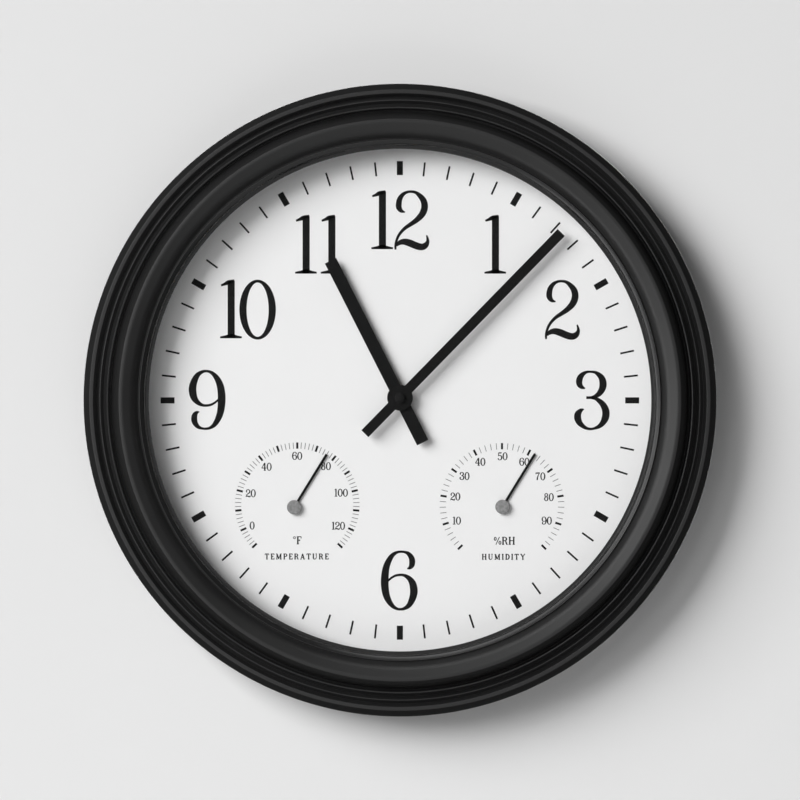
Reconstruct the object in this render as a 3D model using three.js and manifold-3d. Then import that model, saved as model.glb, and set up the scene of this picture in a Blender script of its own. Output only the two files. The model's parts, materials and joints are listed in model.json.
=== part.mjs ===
// An 18 inch outdoor wall clock with a thermometer and a hygrometer in its dial.
// Millimetres. X points right and Z up for someone who faces the dial, and Y points into the wall.
// The origin is where the hook carries the clock, on the wall's surface.
// A height is a distance out from the wall.
import * as THREE from "three";
import { mergeVertices } from "three/addons/utils/BufferGeometryUtils.js";
import Module from "manifold-3d";

// Fits
const seatGap = 0.3;
const runningGap = 0.3;
const lensClearance = 0.5;
const cutOverrun = 1;
const weldTolerance = 0.0005;

// Case
const caseDiameter = 457.2;
const caseDepth = 50.8;
const mouldingWidth = 46.8;
const mouldingRise = 20.8;
const skirtStandOff = 3;
const shellWall = 2.4;
const lensRecess = 7.2;
const lipThickness = 1.4;
const lensOverlap = 6.2;
const bezelRibThickness = 1.6;
const innerWallBelowDial = 3;
const caseScrewCount = 8;

// Stack behind the bezel's lip
const gasketThickness = 0.8;
const gasketWidth = 4.6;
const lensThickness = 3;
const lensChamfer = 0.6;
const spacerHeight = 12;
const spacerWidth = 4;
const spacerDraft = 1.2;
const dialThickness = 1.2;

// Rear cover
const standOff = 1.5;
const coverWall = 2.5;
const rimStep = 3;
const rimInset = 13.9;
const clampRibThickness = 2.4;
const bayMargin = 3.5;
const bayWall = 2;
const coverRibHeight = 8;
const coverRibThickness = 1.6;
const coverRibAngles = [0, 60, 120, 180, 240, 300];
const ventCount = 5;
const ventWidth = 3;
const ventLength = 26;
const ventPitch = 6;
const padRadius = 7;
const padInset = 63.6;
const padAngle = 40;

// Hanger
const hangInset = 78.6;
const hangerWidth = 30;
const hangerAbove = 13;
const hangerBelow = 31;
const hangerThickness = 1.2;
const hangerCorner = 4;
const hookSlotWidth = 5;
const hookEntryDiameter = 10.4;
const hookTravel = 14;
const hangerScrewEdge = 5;
const pocketMargin = 2.6;
const pocketDepth = 10;
const pocketWall = 2;

// Screws
const caseScrewDiameter = 3.5;
const caseScrewLength = 14;
const caseHeadDiameter = 7.2;
const caseHeadHeight = 2;
const hangerScrewDiameter = 2.6;
const hangerScrewLength = 8;
const hangerHeadDiameter = 5.2;
const hangerHeadHeight = 1.1;
const bossWall = 2.2;

// Hands
const handAxisRise = 1.7;
const minuteHandAngle = 44.1;
const minuteHandMargin = 14.8;
const minuteHandTail = 36.3;
const minuteHandWidth = 6.7;
const minuteHubDiameter = 18;
const hourHandAngle = 334.2;
const hourHandMargin = 71.8;
const hourHandTail = 36.9;
const hourHandWidth = 8.8;
const hourHubDiameter = 15;
const handThickness = 0.8;
const handSpacing = 0.9;
const capNutDiameter = 7.4;
const capNutHeight = 2.6;
const capNutDome = 0.6;

// Movement
const movementWall = 1.2;
const movementSplit = 3;
const bayPartitionDrop = 10.3;
const stemDiameter = 8;
const stemWall = 1;
const stemProjection = 0.4;
const stemNutFlats = 12;
const stemNutSides = 6;
const stemNutHeight = 2.2;
const brassWasherDiameter = 14;
const brassWasherThickness = 0.6;
const rubberWasherDiameter = 18;
const rubberWasherThickness = 0.8;
const hourTubeWall = 0.8;
const cannonWall = 0.7;
const arborDiameter = 1;
const fineArborDiameter = 0.8;
const pivotDepth = 0.6;
const pivotBossWall = 0.7;
const postDiameter = 3;

// Train
const wheelThickness = 0.6;
const trainGap = 0.4;
const pinionOverrun = 0.2;
const bridgeThickness = 0.8;
const rotorDistance = 5.25;
const rotorDirection = 60;
const intermediateDistance = 7.2;
const intermediateDirection = 45;
const thirdDistance = 10;
const thirdDirection = 135;
const motionDistance = 10.4;
const motionDirection = 20;
const knobDirection = -50;
const rotorLeaves = 6;
const intermediateTeeth = 36;
const intermediateLeaves = 6;
const secondsTeeth = 30;
const secondsLeaves = 6;
const thirdTeeth = 45;
const thirdLeaves = 6;
const centreTeeth = 48;
const cannonLeaves = 10;
const motionTeeth = 30;
const motionLeaves = 8;
const hourTeeth = 32;
const knobLeaves = 10;
const knobDiameter = 9;
const knobHeight = 2.6;
const knobStemDiameter = 2;
const knobFlutes = 12;
const knobFluteDepth = 0.3;

// Motor and circuit
const magnetDiameter = 6;
const magnetHeight = 3;
const statorRise = 2.8;
const statorThickness = 1;
const statorBarWidth = 3;
const poleClearance = 0.4;
const poleWall = 1.1;
const coilDrop = 5.8;
const coilStart = 0.5;
const coilInset = 8.8;
const coilHeight = 6.4;
const coilDepth = 6;
const bobbinWall = 0.6;
const bobbinFlange = 1;
const circuitWidth = 13;
const circuitLength = 23;
const circuitThickness = 0.8;
const chipDiameter = 5;
const crystalDiameter = 2;
const crystalLength = 6;

// Cell and contacts
const cellDiameter = 14.5;
const cellLength = 50.5;
const cellNubDiameter = 5.5;
const cellNubLength = 1;
const cellSideGap = 0.65;
const springRoom = 3.1;
const contactThickness = 0.4;
const contactWidth = 9;
const contactStripWidth = 2;
const springWire = 0.5;
const springTurns = 2.5;
const springOuterDiameter = 11;
const springInnerDiameter = 5;

// Gauges
const gaugeOffsetShare = 0.407;
const gaugeDropShare = 0.418;
const thermometerShiftX = -2.5;
const thermometerShiftZ = -1.4;
const hygrometerShiftX = 0;
const hygrometerShiftZ = -1.1;
const gaugePointerAngle = 31.6;
const gaugeHousingDiameter = 40;
const gaugeHousingDepth = 9;
const gaugeWall = 1.6;
const gaugeBridgeWidth = 6;
const spindleDiameter = 1.5;
const spindleCollarDiameter = 3.2;
const dialPassage = 0.8;
const pointerReach = 44.9;
const pointerWidth = 1.8;
const pointerThickness = 0.5;
const pointerHubDiameter = 5.2;
const pointerLift = 0.8;
const gaugeCapDiameter = 10.4;
const gaugeCapHeight = 1.4;
const gaugeCapFace = 0.6;
const coilStripWidth = 4;
const coilStripThickness = 0.5;
const coilTurns = 5;
const anchorWidth = 2.4;
const anchorLength = 2;

// Facets
const ringSides = 52;
const roundSides = 16;
const smallSides = 8;
const bossSides = 6;
const rollSteps = 3;
const spiralSteps = 12;
const wireSides = 5;

// Radii and heights that follow from the sizes above
const caseRadius = caseDiameter / 2;
const openingRadius = caseRadius - mouldingWidth;
const edgeHeight = caseDepth - mouldingRise;
const hangDrop = caseRadius - hangInset;
const padReach = caseRadius - padInset;
const lensRadius = openingRadius + lensOverlap;
const seatRadius = lensRadius + lensClearance;
const boltRadiusShare = 0.31;
const boltRadius = caseRadius - boltRadiusShare * mouldingWidth;
const lipFront = caseDepth - lensRecess;
const lipBack = lipFront - lipThickness;
const gasketFront = lipBack - seatGap;
const gasketBack = gasketFront - gasketThickness;
const lensFront = gasketBack - seatGap;
const lensBack = lensFront - lensThickness;
const spacerFront = lensBack - seatGap;
const spacerBack = spacerFront - spacerHeight;
const dialFront = spacerBack - seatGap;
const dialBack = dialFront - dialThickness;
const innerWallEnd = dialBack - innerWallBelowDial;
const panelFront = standOff + coverWall;
const rimBack = standOff + rimStep;
const rimFront = rimBack + coverWall;
const clampRibOuter = lensRadius - spacerWidth / 2;

const movementFront = dialBack - 2 * seatGap - rubberWasherThickness;
const movementBack = movementFront - movementWall - cellDiameter - 2 * cellSideGap;
const rearInside = movementBack + movementWall;
const frontInside = movementFront - movementWall;
const splitHeight = frontInside - movementSplit;
const innerRight = (cellLength + contactThickness + 2 * seatGap + springRoom) / 2;
const innerTop = bayPartitionDrop + movementWall + cellDiameter + 2 * cellSideGap;
const movementRight = innerRight + movementWall;
const movementTop = innerTop + movementWall;
const brassWasherBack = dialFront + seatGap;
const stemNutBack = brassWasherBack + brassWasherThickness + seatGap;
const stemNutFront = stemNutBack + stemNutHeight;
const stemFront = stemNutFront + stemProjection;
const stemRadius = stemDiameter / 2;
const stemBore = stemRadius - stemWall;
const hourTubeRadius = stemBore - runningGap;
const hourTubeBore = hourTubeRadius - hourTubeWall;
const cannonRadius = hourTubeBore - runningGap;
const cannonBore = cannonRadius - cannonWall;
const secondsArborRadius = cannonBore - runningGap;
const hourHandBack = stemFront + handSpacing;
const hourHandFront = hourHandBack + handThickness;
const hourTubeFront = hourHandFront + seatGap;
const minuteHandBack = hourTubeFront + handSpacing;
const minuteHandFront = minuteHandBack + handThickness;
const capNutBack = minuteHandFront + seatGap;
const capNutFront = capNutBack + capNutHeight;
const cannonFront = capNutFront - capNutDome - seatGap;

const statorBack = rearInside + statorRise;
const statorFront = statorBack + statorThickness;
const magnetBack = (statorBack + statorFront - magnetHeight) / 2;
const magnetFront = magnetBack + magnetHeight;
const intermediateBack = magnetFront + trainGap;
const intermediateFront = intermediateBack + wheelThickness;
const secondsBack = intermediateFront + trainGap;
const secondsFront = secondsBack + wheelThickness;
const thirdBack = secondsFront + trainGap;
const thirdFront = thirdBack + wheelThickness;
const bridgeBack = thirdFront + pinionOverrun + trainGap;
const bridgeFront = bridgeBack + bridgeThickness;
const centreBack = bridgeFront + trainGap;
const centreFront = centreBack + wheelThickness;
const motionBack = centreFront + trainGap;
const motionFront = motionBack + wheelThickness;
const hourBack = motionFront + pinionOverrun + trainGap;
const hourFront = hourBack + wheelThickness;

const rotorModule = 2 * rotorDistance / (rotorLeaves + intermediateTeeth);
const intermediateModule = 2 * intermediateDistance / (intermediateLeaves + secondsTeeth);
const secondsModule = 2 * thirdDistance / (secondsLeaves + thirdTeeth);
const thirdModule = 2 * thirdDistance / (thirdLeaves + centreTeeth);
const cannonModule = 2 * motionDistance / (cannonLeaves + motionTeeth);
const motionModule = 2 * motionDistance / (motionLeaves + hourTeeth);
const knobDistance = cannonModule * (motionTeeth + knobLeaves) / 2;

const cellHeight = (movementBack + frontInside) / 2;
const cellRise = -(bayPartitionDrop + movementWall + innerTop) / 2;
const cellEnd = innerRight - contactThickness - 2 * seatGap;
const housingFront = dialBack - seatGap;
const housingBack = housingFront - gaugeHousingDepth;
const pointerBack = dialFront + pointerLift;
const pointerFront = pointerBack + pointerThickness;
const gaugeCapBack = pointerFront + seatGap;
const gaugeCapFront = gaugeCapBack + gaugeCapHeight;
const spindleFront = gaugeCapFront - gaugeCapFace - seatGap;

// The moulding, from the case's edge (0) to the opening (1), and from the skirt's top (0) to the crest (1)
const rollCrestShares = [0.12, 0.36];
const steppedShares = [
  [0.15, 0.36], [0.172, 0.2], [0.232, 0.185], [0.246, 0.29], [0.272, 0.29], [0.286, 0.19],
  [0.334, 0.2], [0.35, 0.45], [0.392, 0.46], [0.41, 0.3], [0.455, 0.31],
];
const crownShares = [0.6, 1];
const crownEndShares = [0.86, 0.74];
const beadCrestShares = [0.895, 0.8];
const beadEndShares = [0.945, 0.7];
const lipStartShare = 0.985;
const undersideShares = [
  [0.74, 0.86], [0.62, 0.88], [0.545, 0.72], [0.505, 0.25], [0.28, 0.06], [0.11, 0.05],
];
const bossTopShare = 0.15;
const ribTopShare = 0.1;

const wasm = await Module();
wasm.setup();

const halfTurn = 180;
const quarterTurn = halfTurn / 2;
const degrees = (angle) => angle * Math.PI / halfTurn;

// A point on the dial's plane at a distance along a direction measured from +X towards +Z.
function polar(distance, direction, from = [0, 0]) {
  const angle = degrees(direction);
  return [from[0] + distance * Math.cos(angle), from[1] + distance * Math.sin(angle)];
}

// A closed geometry as a solid that can be joined and cut.
function solid(geometry) {
  const bare = geometry.index ? geometry.toNonIndexed() : geometry.clone();
  bare.deleteAttribute("normal");
  bare.deleteAttribute("uv");
  const merged = mergeVertices(bare, weldTolerance);
  const corners = merged.index.array;
  const kept = [];
  for (let i = 0; i < corners.length; i += 3) {
    const [a, b, c] = corners.slice(i, i + 3);
    if (a !== b && b !== c && c !== a) kept.push(a, b, c);
  }
  const vertProperties = merged.attributes.position.array;
  const triVerts = new Uint32Array(kept);
  return new wasm.Manifold(new wasm.Mesh({ numProp: 3, vertProperties, triVerts }));
}

// A solid's surface with flat faces, ready to be drawn.
function surface(body) {
  const mesh = body.getMesh();
  const geometry = new THREE.BufferGeometry();
  geometry.setAttribute("position", new THREE.BufferAttribute(mesh.vertProperties, mesh.numProp));
  geometry.setIndex(new THREE.BufferAttribute(mesh.triVerts, 1));
  const faceted = geometry.toNonIndexed();
  faceted.computeVertexNormals();
  return faceted;
}

// The least clear distance between turns of a wound form, from points of its middle line.
function leastTurnGap(points, pointsPerTurn, thickness) {
  const halfTurn = Math.round(pointsPerTurn / 2);
  const gaps = points.flatMap((point, i) =>
    points.slice(i + halfTurn).map((other) => point.distanceTo(other) - thickness));
  return Math.min(...gaps);
}

const joined = (bodies) => bodies.reduce((whole, body) => whole.add(body));
const cut = (body, tools) => tools.reduce((rest, tool) => rest.subtract(tool), body);

// An outline on the dial's plane given a thickness, between two heights.
function slab(shape, low, high) {
  const geometry = new THREE.ExtrudeGeometry(shape, { depth: high - low, bevelEnabled: false });
  geometry.rotateX(Math.PI / 2);
  geometry.translate(0, -low, 0);
  return solid(geometry);
}

// A profile of radii and heights, closed on itself or on the axis, turned about the dial's axis.
function turned(profile, sides) {
  const points = profile.map(([radius, height]) => new THREE.Vector2(radius, -height));
  if (THREE.ShapeUtils.isClockWise(points)) points.reverse();
  points.push(points[0].clone());
  return solid(new THREE.LatheGeometry(points, sides));
}

function rod(radius, low, high, sides, [x, z] = [0, 0]) {
  const geometry = new THREE.CylinderGeometry(radius, radius, high - low, sides);
  geometry.translate(x, -(low + high) / 2, z);
  return solid(geometry);
}

function tube(outer, inner, low, high, sides, place) {
  return rod(outer, low, high, sides, place).subtract(
    rod(inner, low - cutOverrun, high + cutOverrun, sides, place));
}

function block(left, right, bottom, top, low, high) {
  const geometry = new THREE.BoxGeometry(right - left, high - low, top - bottom);
  geometry.translate((left + right) / 2, -(low + high) / 2, (bottom + top) / 2);
  return solid(geometry);
}

// The same solid turned clockwise, as seen from the front, about the axis through the origin.
const spun = (body, clockwise) => body.rotate([0, clockwise, 0]);
const moved = (body, [x, z]) => body.translate([x, 0, z]);

function circlePoints(radius, sides, [x, z] = [0, 0]) {
  return Array.from({ length: sides }, (_, i) => {
    const angle = 2 * Math.PI * i / sides;
    return new THREE.Vector2(x + radius * Math.cos(angle), z + radius * Math.sin(angle));
  });
}

const circleHole = (radius, sides, place) => new THREE.Path(circlePoints(radius, sides, place));

// A quarter of an ellipse that leaves the first point upright and reaches the second point level.
function quarterRoll([r0, h0], [r1, h1], steps) {
  return Array.from({ length: steps + 1 }, (_, i) => {
    const angle = Math.PI / 2 * i / steps;
    return [r1 + (r0 - r1) * Math.cos(angle), h0 + (h1 - h0) * Math.sin(angle)];
  });
}

function finish(color, roughness, metalness) {
  return new THREE.MeshStandardMaterial({ color, roughness, metalness });
}

const satinBlack = () => finish(0x242424, 0.42, 0);
const matteBlack = () => finish(0x1c1c1c, 0.7, 0);
const rubber = () => finish(0x161616, 0.9, 0);
const clearGlass = () => new THREE.MeshStandardMaterial({
  color: 0xffffff, roughness: 0.03, metalness: 0, transparent: true, opacity: 0.12,
});
const dialWhite = () => finish(0xececec, 0.6, 0);
const handBlack = () => finish(0x1b1b1b, 0.45, 0);
const hubGrey = () => finish(0x8d8d8d, 0.5, 0);
const zincSteel = () => finish(0xb4b7ba, 0.35, 1);
const brass = () => finish(0xc9a24b, 0.3, 1);
const whiteNylon = () => finish(0xe8e4d8, 0.5, 0);
const redNylon = () => finish(0xb03a30, 0.5, 0);
const magnetGrey = () => finish(0x4a4a4d, 0.4, 1);
const copper = () => finish(0xb5632d, 0.35, 1);
const circuitGreen = () => finish(0x2f6a3b, 0.5, 0);
const bimetal = () => finish(0xb98d5a, 0.4, 1);
const cellJacket = () => finish(0x2b4f7d, 0.35, 0);

const clock = new THREE.Group();
clock.name = "outdoor_wall_clock";
const casing = new THREE.Group();
casing.position.z = -hangDrop;
clock.add(casing);
const handAxis = new THREE.Group();
handAxis.position.z = handAxisRise;
casing.add(handAxis);

function addPart(group, name, body, material) {
  const part = new THREE.Mesh(surface(body), material);
  part.name = name;
  group.add(part);
  return part;
}

// Case

const mouldingPoint = ([across, up]) => [
  caseRadius - across * mouldingWidth,
  edgeHeight + up * mouldingRise,
];

function bezelProfile() {
  const rollCrest = mouldingPoint(rollCrestShares);
  const steps = steppedShares.map(mouldingPoint);
  const crown = mouldingPoint(crownShares);
  const beadCrest = mouldingPoint(beadCrestShares);
  return [
    [caseRadius, skirtStandOff],
    ...quarterRoll([caseRadius, edgeHeight], rollCrest, rollSteps),
    ...steps,
    ...quarterRoll(steps.at(-1), crown, rollSteps).slice(1),
    ...quarterRoll(mouldingPoint(crownEndShares), crown, rollSteps).reverse().slice(1),
    beadCrest,
    mouldingPoint(beadEndShares),
    [mouldingPoint([lipStartShare, 0])[0], lipFront],
    [openingRadius, lipFront - lipThickness / 2],
    [openingRadius, lipBack],
    [seatRadius, lipBack],
    [seatRadius, innerWallEnd],
    [seatRadius + shellWall, innerWallEnd],
    ...undersideShares.map(mouldingPoint),
    [caseRadius - shellWall, edgeHeight - shellWall],
    [caseRadius - shellWall, skirtStandOff],
  ];
}

function caseScrewPlaces() {
  const step = 2 * halfTurn / caseScrewCount;
  return Array.from({ length: caseScrewCount }, (_, i) => polar(boltRadius, quarterTurn - (i + 1 / 2) * step));
}

function bezel() {
  const bossRadius = caseScrewDiameter / 2 + seatGap + bossWall;
  const bossBack = rimFront + seatGap;
  const bossFront = mouldingPoint([0, bossTopShare])[1];
  const ribFront = mouldingPoint([0, ribTopShare])[1];
  const ribBack = dialBack;
  const boreRadius = caseScrewDiameter / 2 + seatGap;
  const boreFront = rimBack + caseScrewLength + seatGap;
  const places = caseScrewPlaces();
  const bosses = places.map((place) => rod(bossRadius, bossBack, bossFront, bossSides, place));
  const bores = places.map((place) => rod(boreRadius, bossBack - cutOverrun, boreFront, bossSides, place));
  const ribs = Array.from({ length: caseScrewCount }, (_, i) => {
    const rib = block(-bezelRibThickness / 2, bezelRibThickness / 2,
      seatRadius + shellWall / 2, caseRadius - shellWall / 2, ribBack, ribFront);
    return spun(rib, i * 2 * halfTurn / caseScrewCount);
  });
  return cut(joined([turned(bezelProfile(), ringSides), ...bosses, ...ribs]), bores);
}

function lensGasket() {
  return turned([
    [lensRadius - gasketWidth, gasketBack],
    [lensRadius, gasketBack],
    [lensRadius, gasketFront],
    [lensRadius - gasketWidth, gasketFront],
  ], ringSides);
}

function lens() {
  return turned([
    [0, lensBack],
    [lensRadius, lensBack],
    [lensRadius, lensFront - lensChamfer],
    [lensRadius - lensChamfer, lensFront],
    [0, lensFront],
  ], ringSides);
}

function spacerRing() {
  return turned([
    [lensRadius - spacerWidth, spacerBack],
    [lensRadius, spacerBack],
    [lensRadius, spacerFront],
    [lensRadius - spacerWidth + spacerDraft, spacerFront],
  ], ringSides);
}

const gaugeOffset = gaugeOffsetShare * openingRadius;
const gaugeDrop = gaugeDropShare * openingRadius;
const thermometerPlace = [thermometerShiftX - gaugeOffset, thermometerShiftZ - gaugeDrop];
const hygrometerPlace = [hygrometerShiftX + gaugeOffset, hygrometerShiftZ - gaugeDrop];

function dial() {
  const shape = new THREE.Shape(circlePoints(lensRadius, ringSides));
  shape.holes.push(circleHole(stemRadius + seatGap, roundSides, [0, handAxisRise]));
  for (const place of [thermometerPlace, hygrometerPlace]) {
    shape.holes.push(circleHole(spindleDiameter / 2 + dialPassage, smallSides, place));
  }
  return slab(shape, dialBack, dialFront);
}

function coverDish() {
  const rimOuter = caseRadius - shellWall - lensClearance;
  const rimInner = openingRadius + rimInset;
  return turned([
    [0, standOff],
    [rimInner - rimStep + coverWall / 2, standOff],
    [rimInner + coverWall / 2, rimBack],
    [rimOuter, rimBack],
    [rimOuter, rimFront],
    [rimInner, rimFront],
    [rimInner - rimStep, panelFront],
    [clampRibOuter, panelFront],
    [clampRibOuter, dialBack - seatGap],
    [clampRibOuter - clampRibThickness, dialBack - seatGap],
    [clampRibOuter - clampRibThickness, panelFront],
    [0, panelFront],
  ], ringSides);
}

const bayRight = movementRight + bayMargin;
const bayTop = movementTop + bayMargin;
const hangerScrewHeights = [hangerAbove - hangerScrewEdge, hangerScrewEdge - hangerBelow];
const hangerBack = standOff;
const hangerFront = hangerBack + hangerThickness;

function movementBay(margin, low, high) {
  const right = bayRight + margin;
  const top = bayTop + margin;
  return block(-right, right, handAxisRise - top, handAxisRise + top, low, high);
}

function coverRibs() {
  const inner = Math.hypot(bayRight, bayTop);
  return coverRibAngles.map((angle) => spun(
    block(-coverRibThickness / 2, coverRibThickness / 2, inner, clampRibOuter - clampRibThickness / 2,
      panelFront - coverWall / 2, panelFront + coverRibHeight), angle));
}

function vents() {
  return [thermometerPlace, hygrometerPlace].flatMap(([x, z]) =>
    Array.from({ length: ventCount }, (_, i) => {
      const bottom = z + (i - (ventCount - 1) / 2) * ventPitch - ventWidth / 2;
      return block(x - ventLength / 2, x + ventLength / 2, bottom, bottom + ventWidth,
        standOff - cutOverrun, panelFront + cutOverrun);
    }));
}

function padPlace(side, below) {
  return polar(padReach, quarterTurn + side * (below ? halfTurn - padAngle : padAngle));
}

const pocketHalf = hookEntryDiameter / 2 + pocketMargin;
const pocketTop = hangDrop + hookSlotWidth / 2 + pocketMargin;
const pocketBottom = hangDrop - hookTravel - pocketHalf;
const pocketFront = hangerFront + seatGap + pocketDepth;

function hangerPocket() {
  const bossRadius = hangerScrewDiameter / 2 + seatGap + bossWall;
  const back = standOff + coverWall / 2;
  const wallHalf = pocketHalf + pocketWall;
  const seatHalf = hangerWidth / 2 + pocketWall;
  const wall = block(-wallHalf, wallHalf, pocketBottom - pocketWall, pocketTop + pocketWall,
    back, pocketFront + pocketWall);
  const seat = block(-seatHalf, seatHalf, hangDrop - hangerBelow - pocketWall,
    hangDrop + hangerAbove + pocketWall, back, hangerFront + seatGap + coverWall);
  const bosses = hangerScrewHeights.map((z) => rod(bossRadius, back,
    hangerBack + hangerScrewLength + pocketWall, smallSides, [0, hangDrop + z]));
  return [wall, seat, ...bosses];
}

function hangerCuts() {
  const bores = hangerScrewHeights.map((z) => rod(hangerScrewDiameter / 2 + seatGap, standOff - cutOverrun,
    hangerBack + hangerScrewLength + seatGap, smallSides, [0, hangDrop + z]));
  return [
    block(-hangerWidth / 2 - seatGap, hangerWidth / 2 + seatGap, hangDrop - hangerBelow - seatGap,
      hangDrop + hangerAbove + seatGap, standOff - cutOverrun, hangerFront + seatGap),
    block(-pocketHalf, pocketHalf, pocketBottom, pocketTop, standOff - cutOverrun, pocketFront),
    ...bores,
  ];
}

function rearCover() {
  const feet = [-1, 1].map((side) =>
    rod(padRadius, 0, standOff + coverWall / 2, smallSides, padPlace(side, false)));
  const screwHoles = caseScrewPlaces().map((place) => rod(
    caseScrewDiameter / 2 + seatGap, rimBack - cutOverrun, rimFront + cutOverrun, smallSides, place));
  const body = joined([
    coverDish(), movementBay(bayWall, standOff, dialBack - seatGap), ...coverRibs(), ...hangerPocket(), ...feet,
  ]);
  return cut(body, [
    movementBay(0, standOff - cutOverrun, dialBack + cutOverrun), ...hangerCuts(), ...vents(), ...screwHoles,
  ]);
}

function hangerPlate() {
  const shape = new THREE.Shape();
  const right = hangerWidth / 2;
  const top = hangDrop + hangerAbove;
  const bottom = hangDrop - hangerBelow;
  shape.moveTo(right - hangerCorner, bottom);
  shape.lineTo(right, bottom + hangerCorner);
  shape.lineTo(right, top - hangerCorner);
  shape.lineTo(right - hangerCorner, top);
  shape.lineTo(hangerCorner - right, top);
  shape.lineTo(-right, top - hangerCorner);
  shape.lineTo(-right, bottom + hangerCorner);
  shape.lineTo(hangerCorner - right, bottom);
  const plate = slab(shape, hangerBack, hangerFront);
  const low = hangerBack - cutOverrun;
  const high = hangerFront + cutOverrun;
  const slotHalf = hookSlotWidth / 2;
  const screwHoles = hangerScrewHeights.map((z) =>
    rod(hangerScrewDiameter / 2 + seatGap, low, high, smallSides, [0, hangDrop + z]));
  return cut(plate, [
    rod(hookEntryDiameter / 2, low, high, roundSides, [0, hangDrop - hookTravel]),
    rod(slotHalf, low, high, roundSides, [0, hangDrop]),
    block(-slotHalf, slotHalf, hangDrop - hookTravel, hangDrop, low, high),
    ...screwHoles,
  ]);
}

// A pan-headed screw whose head lies nearest the wall.
function screw(diameter, length, headDiameter, headHeight, seat, place) {
  const headFront = seat - seatGap;
  const headBack = headFront - headHeight;
  return moved(turned([
    [0, headBack],
    [headDiameter / 2 - headHeight / 2, headBack],
    [headDiameter / 2, headBack + headHeight / 2],
    [headDiameter / 2, headFront],
    [diameter / 2, headFront],
    [diameter / 2, seat + length],
    [0, seat + length],
  ], smallSides), place);
}

function buildCase() {
  addPart(casing, "bezel", bezel(), satinBlack());
  addPart(casing, "lens_gasket", lensGasket(), rubber());
  addPart(casing, "lens", lens(), clearGlass());
  addPart(casing, "spacer_ring", spacerRing(), satinBlack());
  addPart(casing, "dial", dial(), dialWhite());
  addPart(casing, "rear_cover", rearCover(), matteBlack());
  addPart(casing, "hanger_plate", hangerPlate(), zincSteel());
  hangerScrewHeights.forEach((z, i) => {
    const body = screw(hangerScrewDiameter, hangerScrewLength, hangerHeadDiameter, hangerHeadHeight,
      hangerBack, [0, hangDrop + z]);
    addPart(casing, ["hanger_screw_upper", "hanger_screw_lower"][i], body, zincSteel());
  });
  caseScrewPlaces().forEach((place, i) => {
    const body = screw(caseScrewDiameter, caseScrewLength, caseHeadDiameter, caseHeadHeight, rimBack, place);
    addPart(casing, `case_screw_${i + 1}`, body, zincSteel());
  });
  [1, -1].forEach((side, i) => {
    const body = rod(padRadius, 0, standOff - seatGap, roundSides, padPlace(side, true));
    addPart(casing, ["bumper_left", "bumper_right"][i], body, rubber());
  });
}

// Hands

function handStrip(width, reach, tail) {
  return new THREE.Shape([
    new THREE.Vector2(-width / 2, -tail),
    new THREE.Vector2(width / 2, -tail),
    new THREE.Vector2(width / 2, reach),
    new THREE.Vector2(-width / 2, reach),
  ]);
}

function hand(width, reach, tail, hubDiameter, bore, back) {
  const front = back + handThickness;
  const strip = slab(handStrip(width, reach, tail), back, front);
  const hub = rod(hubDiameter / 2, back, front, roundSides);
  return strip.add(hub).subtract(rod(bore, back - cutOverrun, front + cutOverrun, smallSides));
}

function capNut() {
  const bore = cannonRadius + seatGap;
  return turned([
    [bore, capNutBack],
    [capNutDiameter / 2, capNutBack],
    [capNutDiameter / 2, capNutFront - capNutDome],
    [capNutDiameter / 2 - capNutDome, capNutFront],
    [0, capNutFront],
    [0, capNutFront - capNutDome],
    [bore, capNutFront - capNutDome],
  ], roundSides);
}

function buildHands() {
  const hourHand = hand(hourHandWidth, openingRadius - hourHandMargin, hourHandTail, hourHubDiameter,
    hourTubeRadius + seatGap, hourHandBack);
  const minuteHand = hand(minuteHandWidth, openingRadius - minuteHandMargin, minuteHandTail, minuteHubDiameter,
    cannonRadius + seatGap, minuteHandBack);
  addPart(handAxis, "hour_hand", spun(hourHand, hourHandAngle), handBlack());
  addPart(handAxis, "minute_hand", spun(minuteHand, minuteHandAngle), handBlack());
  addPart(handAxis, "hand_cap_nut", capNut(), handBlack());
}

// Movement: places of the arbors, from the hand axis

const intermediatePlace = polar(intermediateDistance, intermediateDirection);
const rotorPlace = polar(rotorDistance, rotorDirection, intermediatePlace);
const thirdPlace = polar(thirdDistance, thirdDirection);
const motionPlace = polar(motionDistance, motionDirection);
const knobPlace = polar(knobDistance, knobDirection, motionPlace);
const arborRadius = arborDiameter / 2;
const fineArborRadius = fineArborDiameter / 2;
const knobStemRadius = knobStemDiameter / 2;

const addendumShare = 1;
const dedendumShare = 1.25;
const wheelToothShares = [0.3, 0.12];
const leafToothShares = [0.27, 0.11];

// A toothed outline whose first tooth is centred on the given direction.
function toothed(teeth, module, direction, shares) {
  const pitch = teeth * module / 2;
  const tip = pitch + addendumShare * module;
  const root = pitch - dedendumShare * module;
  const step = 2 * Math.PI / teeth;
  const [rootHalf, tipHalf] = shares;
  const corners = [[root, -rootHalf], [tip, -tipHalf], [tip, tipHalf], [root, rootHalf]];
  const points = Array.from({ length: teeth }, (_, i) => corners.map(([radius, share]) => {
    const angle = degrees(direction) + (i + share) * step;
    return new THREE.Vector2(radius * Math.cos(angle), radius * Math.sin(angle));
  }));
  return new THREE.Shape(points.flat());
}

const wheel = (teeth, module, direction) => toothed(teeth, module, direction, wheelToothShares);
const leaves = (teeth, module, direction) => toothed(teeth, module, direction, leafToothShares);

// The direction of a tooth on the second gear that leaves a gap facing the first gear's tooth.
const meshing = (direction, teeth) => direction + halfTurn + halfTurn / teeth;

function rotor() {
  const pinionFront = intermediateFront + pinionOverrun;
  return moved(joined([
    rod(magnetDiameter / 2, magnetBack, magnetFront, roundSides),
    slab(leaves(rotorLeaves, rotorModule, rotorDirection + halfTurn),
      magnetFront - pinionOverrun, pinionFront),
    rod(fineArborRadius, magnetBack - pivotDepth - seatGap, bridgeBack + pivotDepth, smallSides),
  ]), rotorPlace);
}

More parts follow.
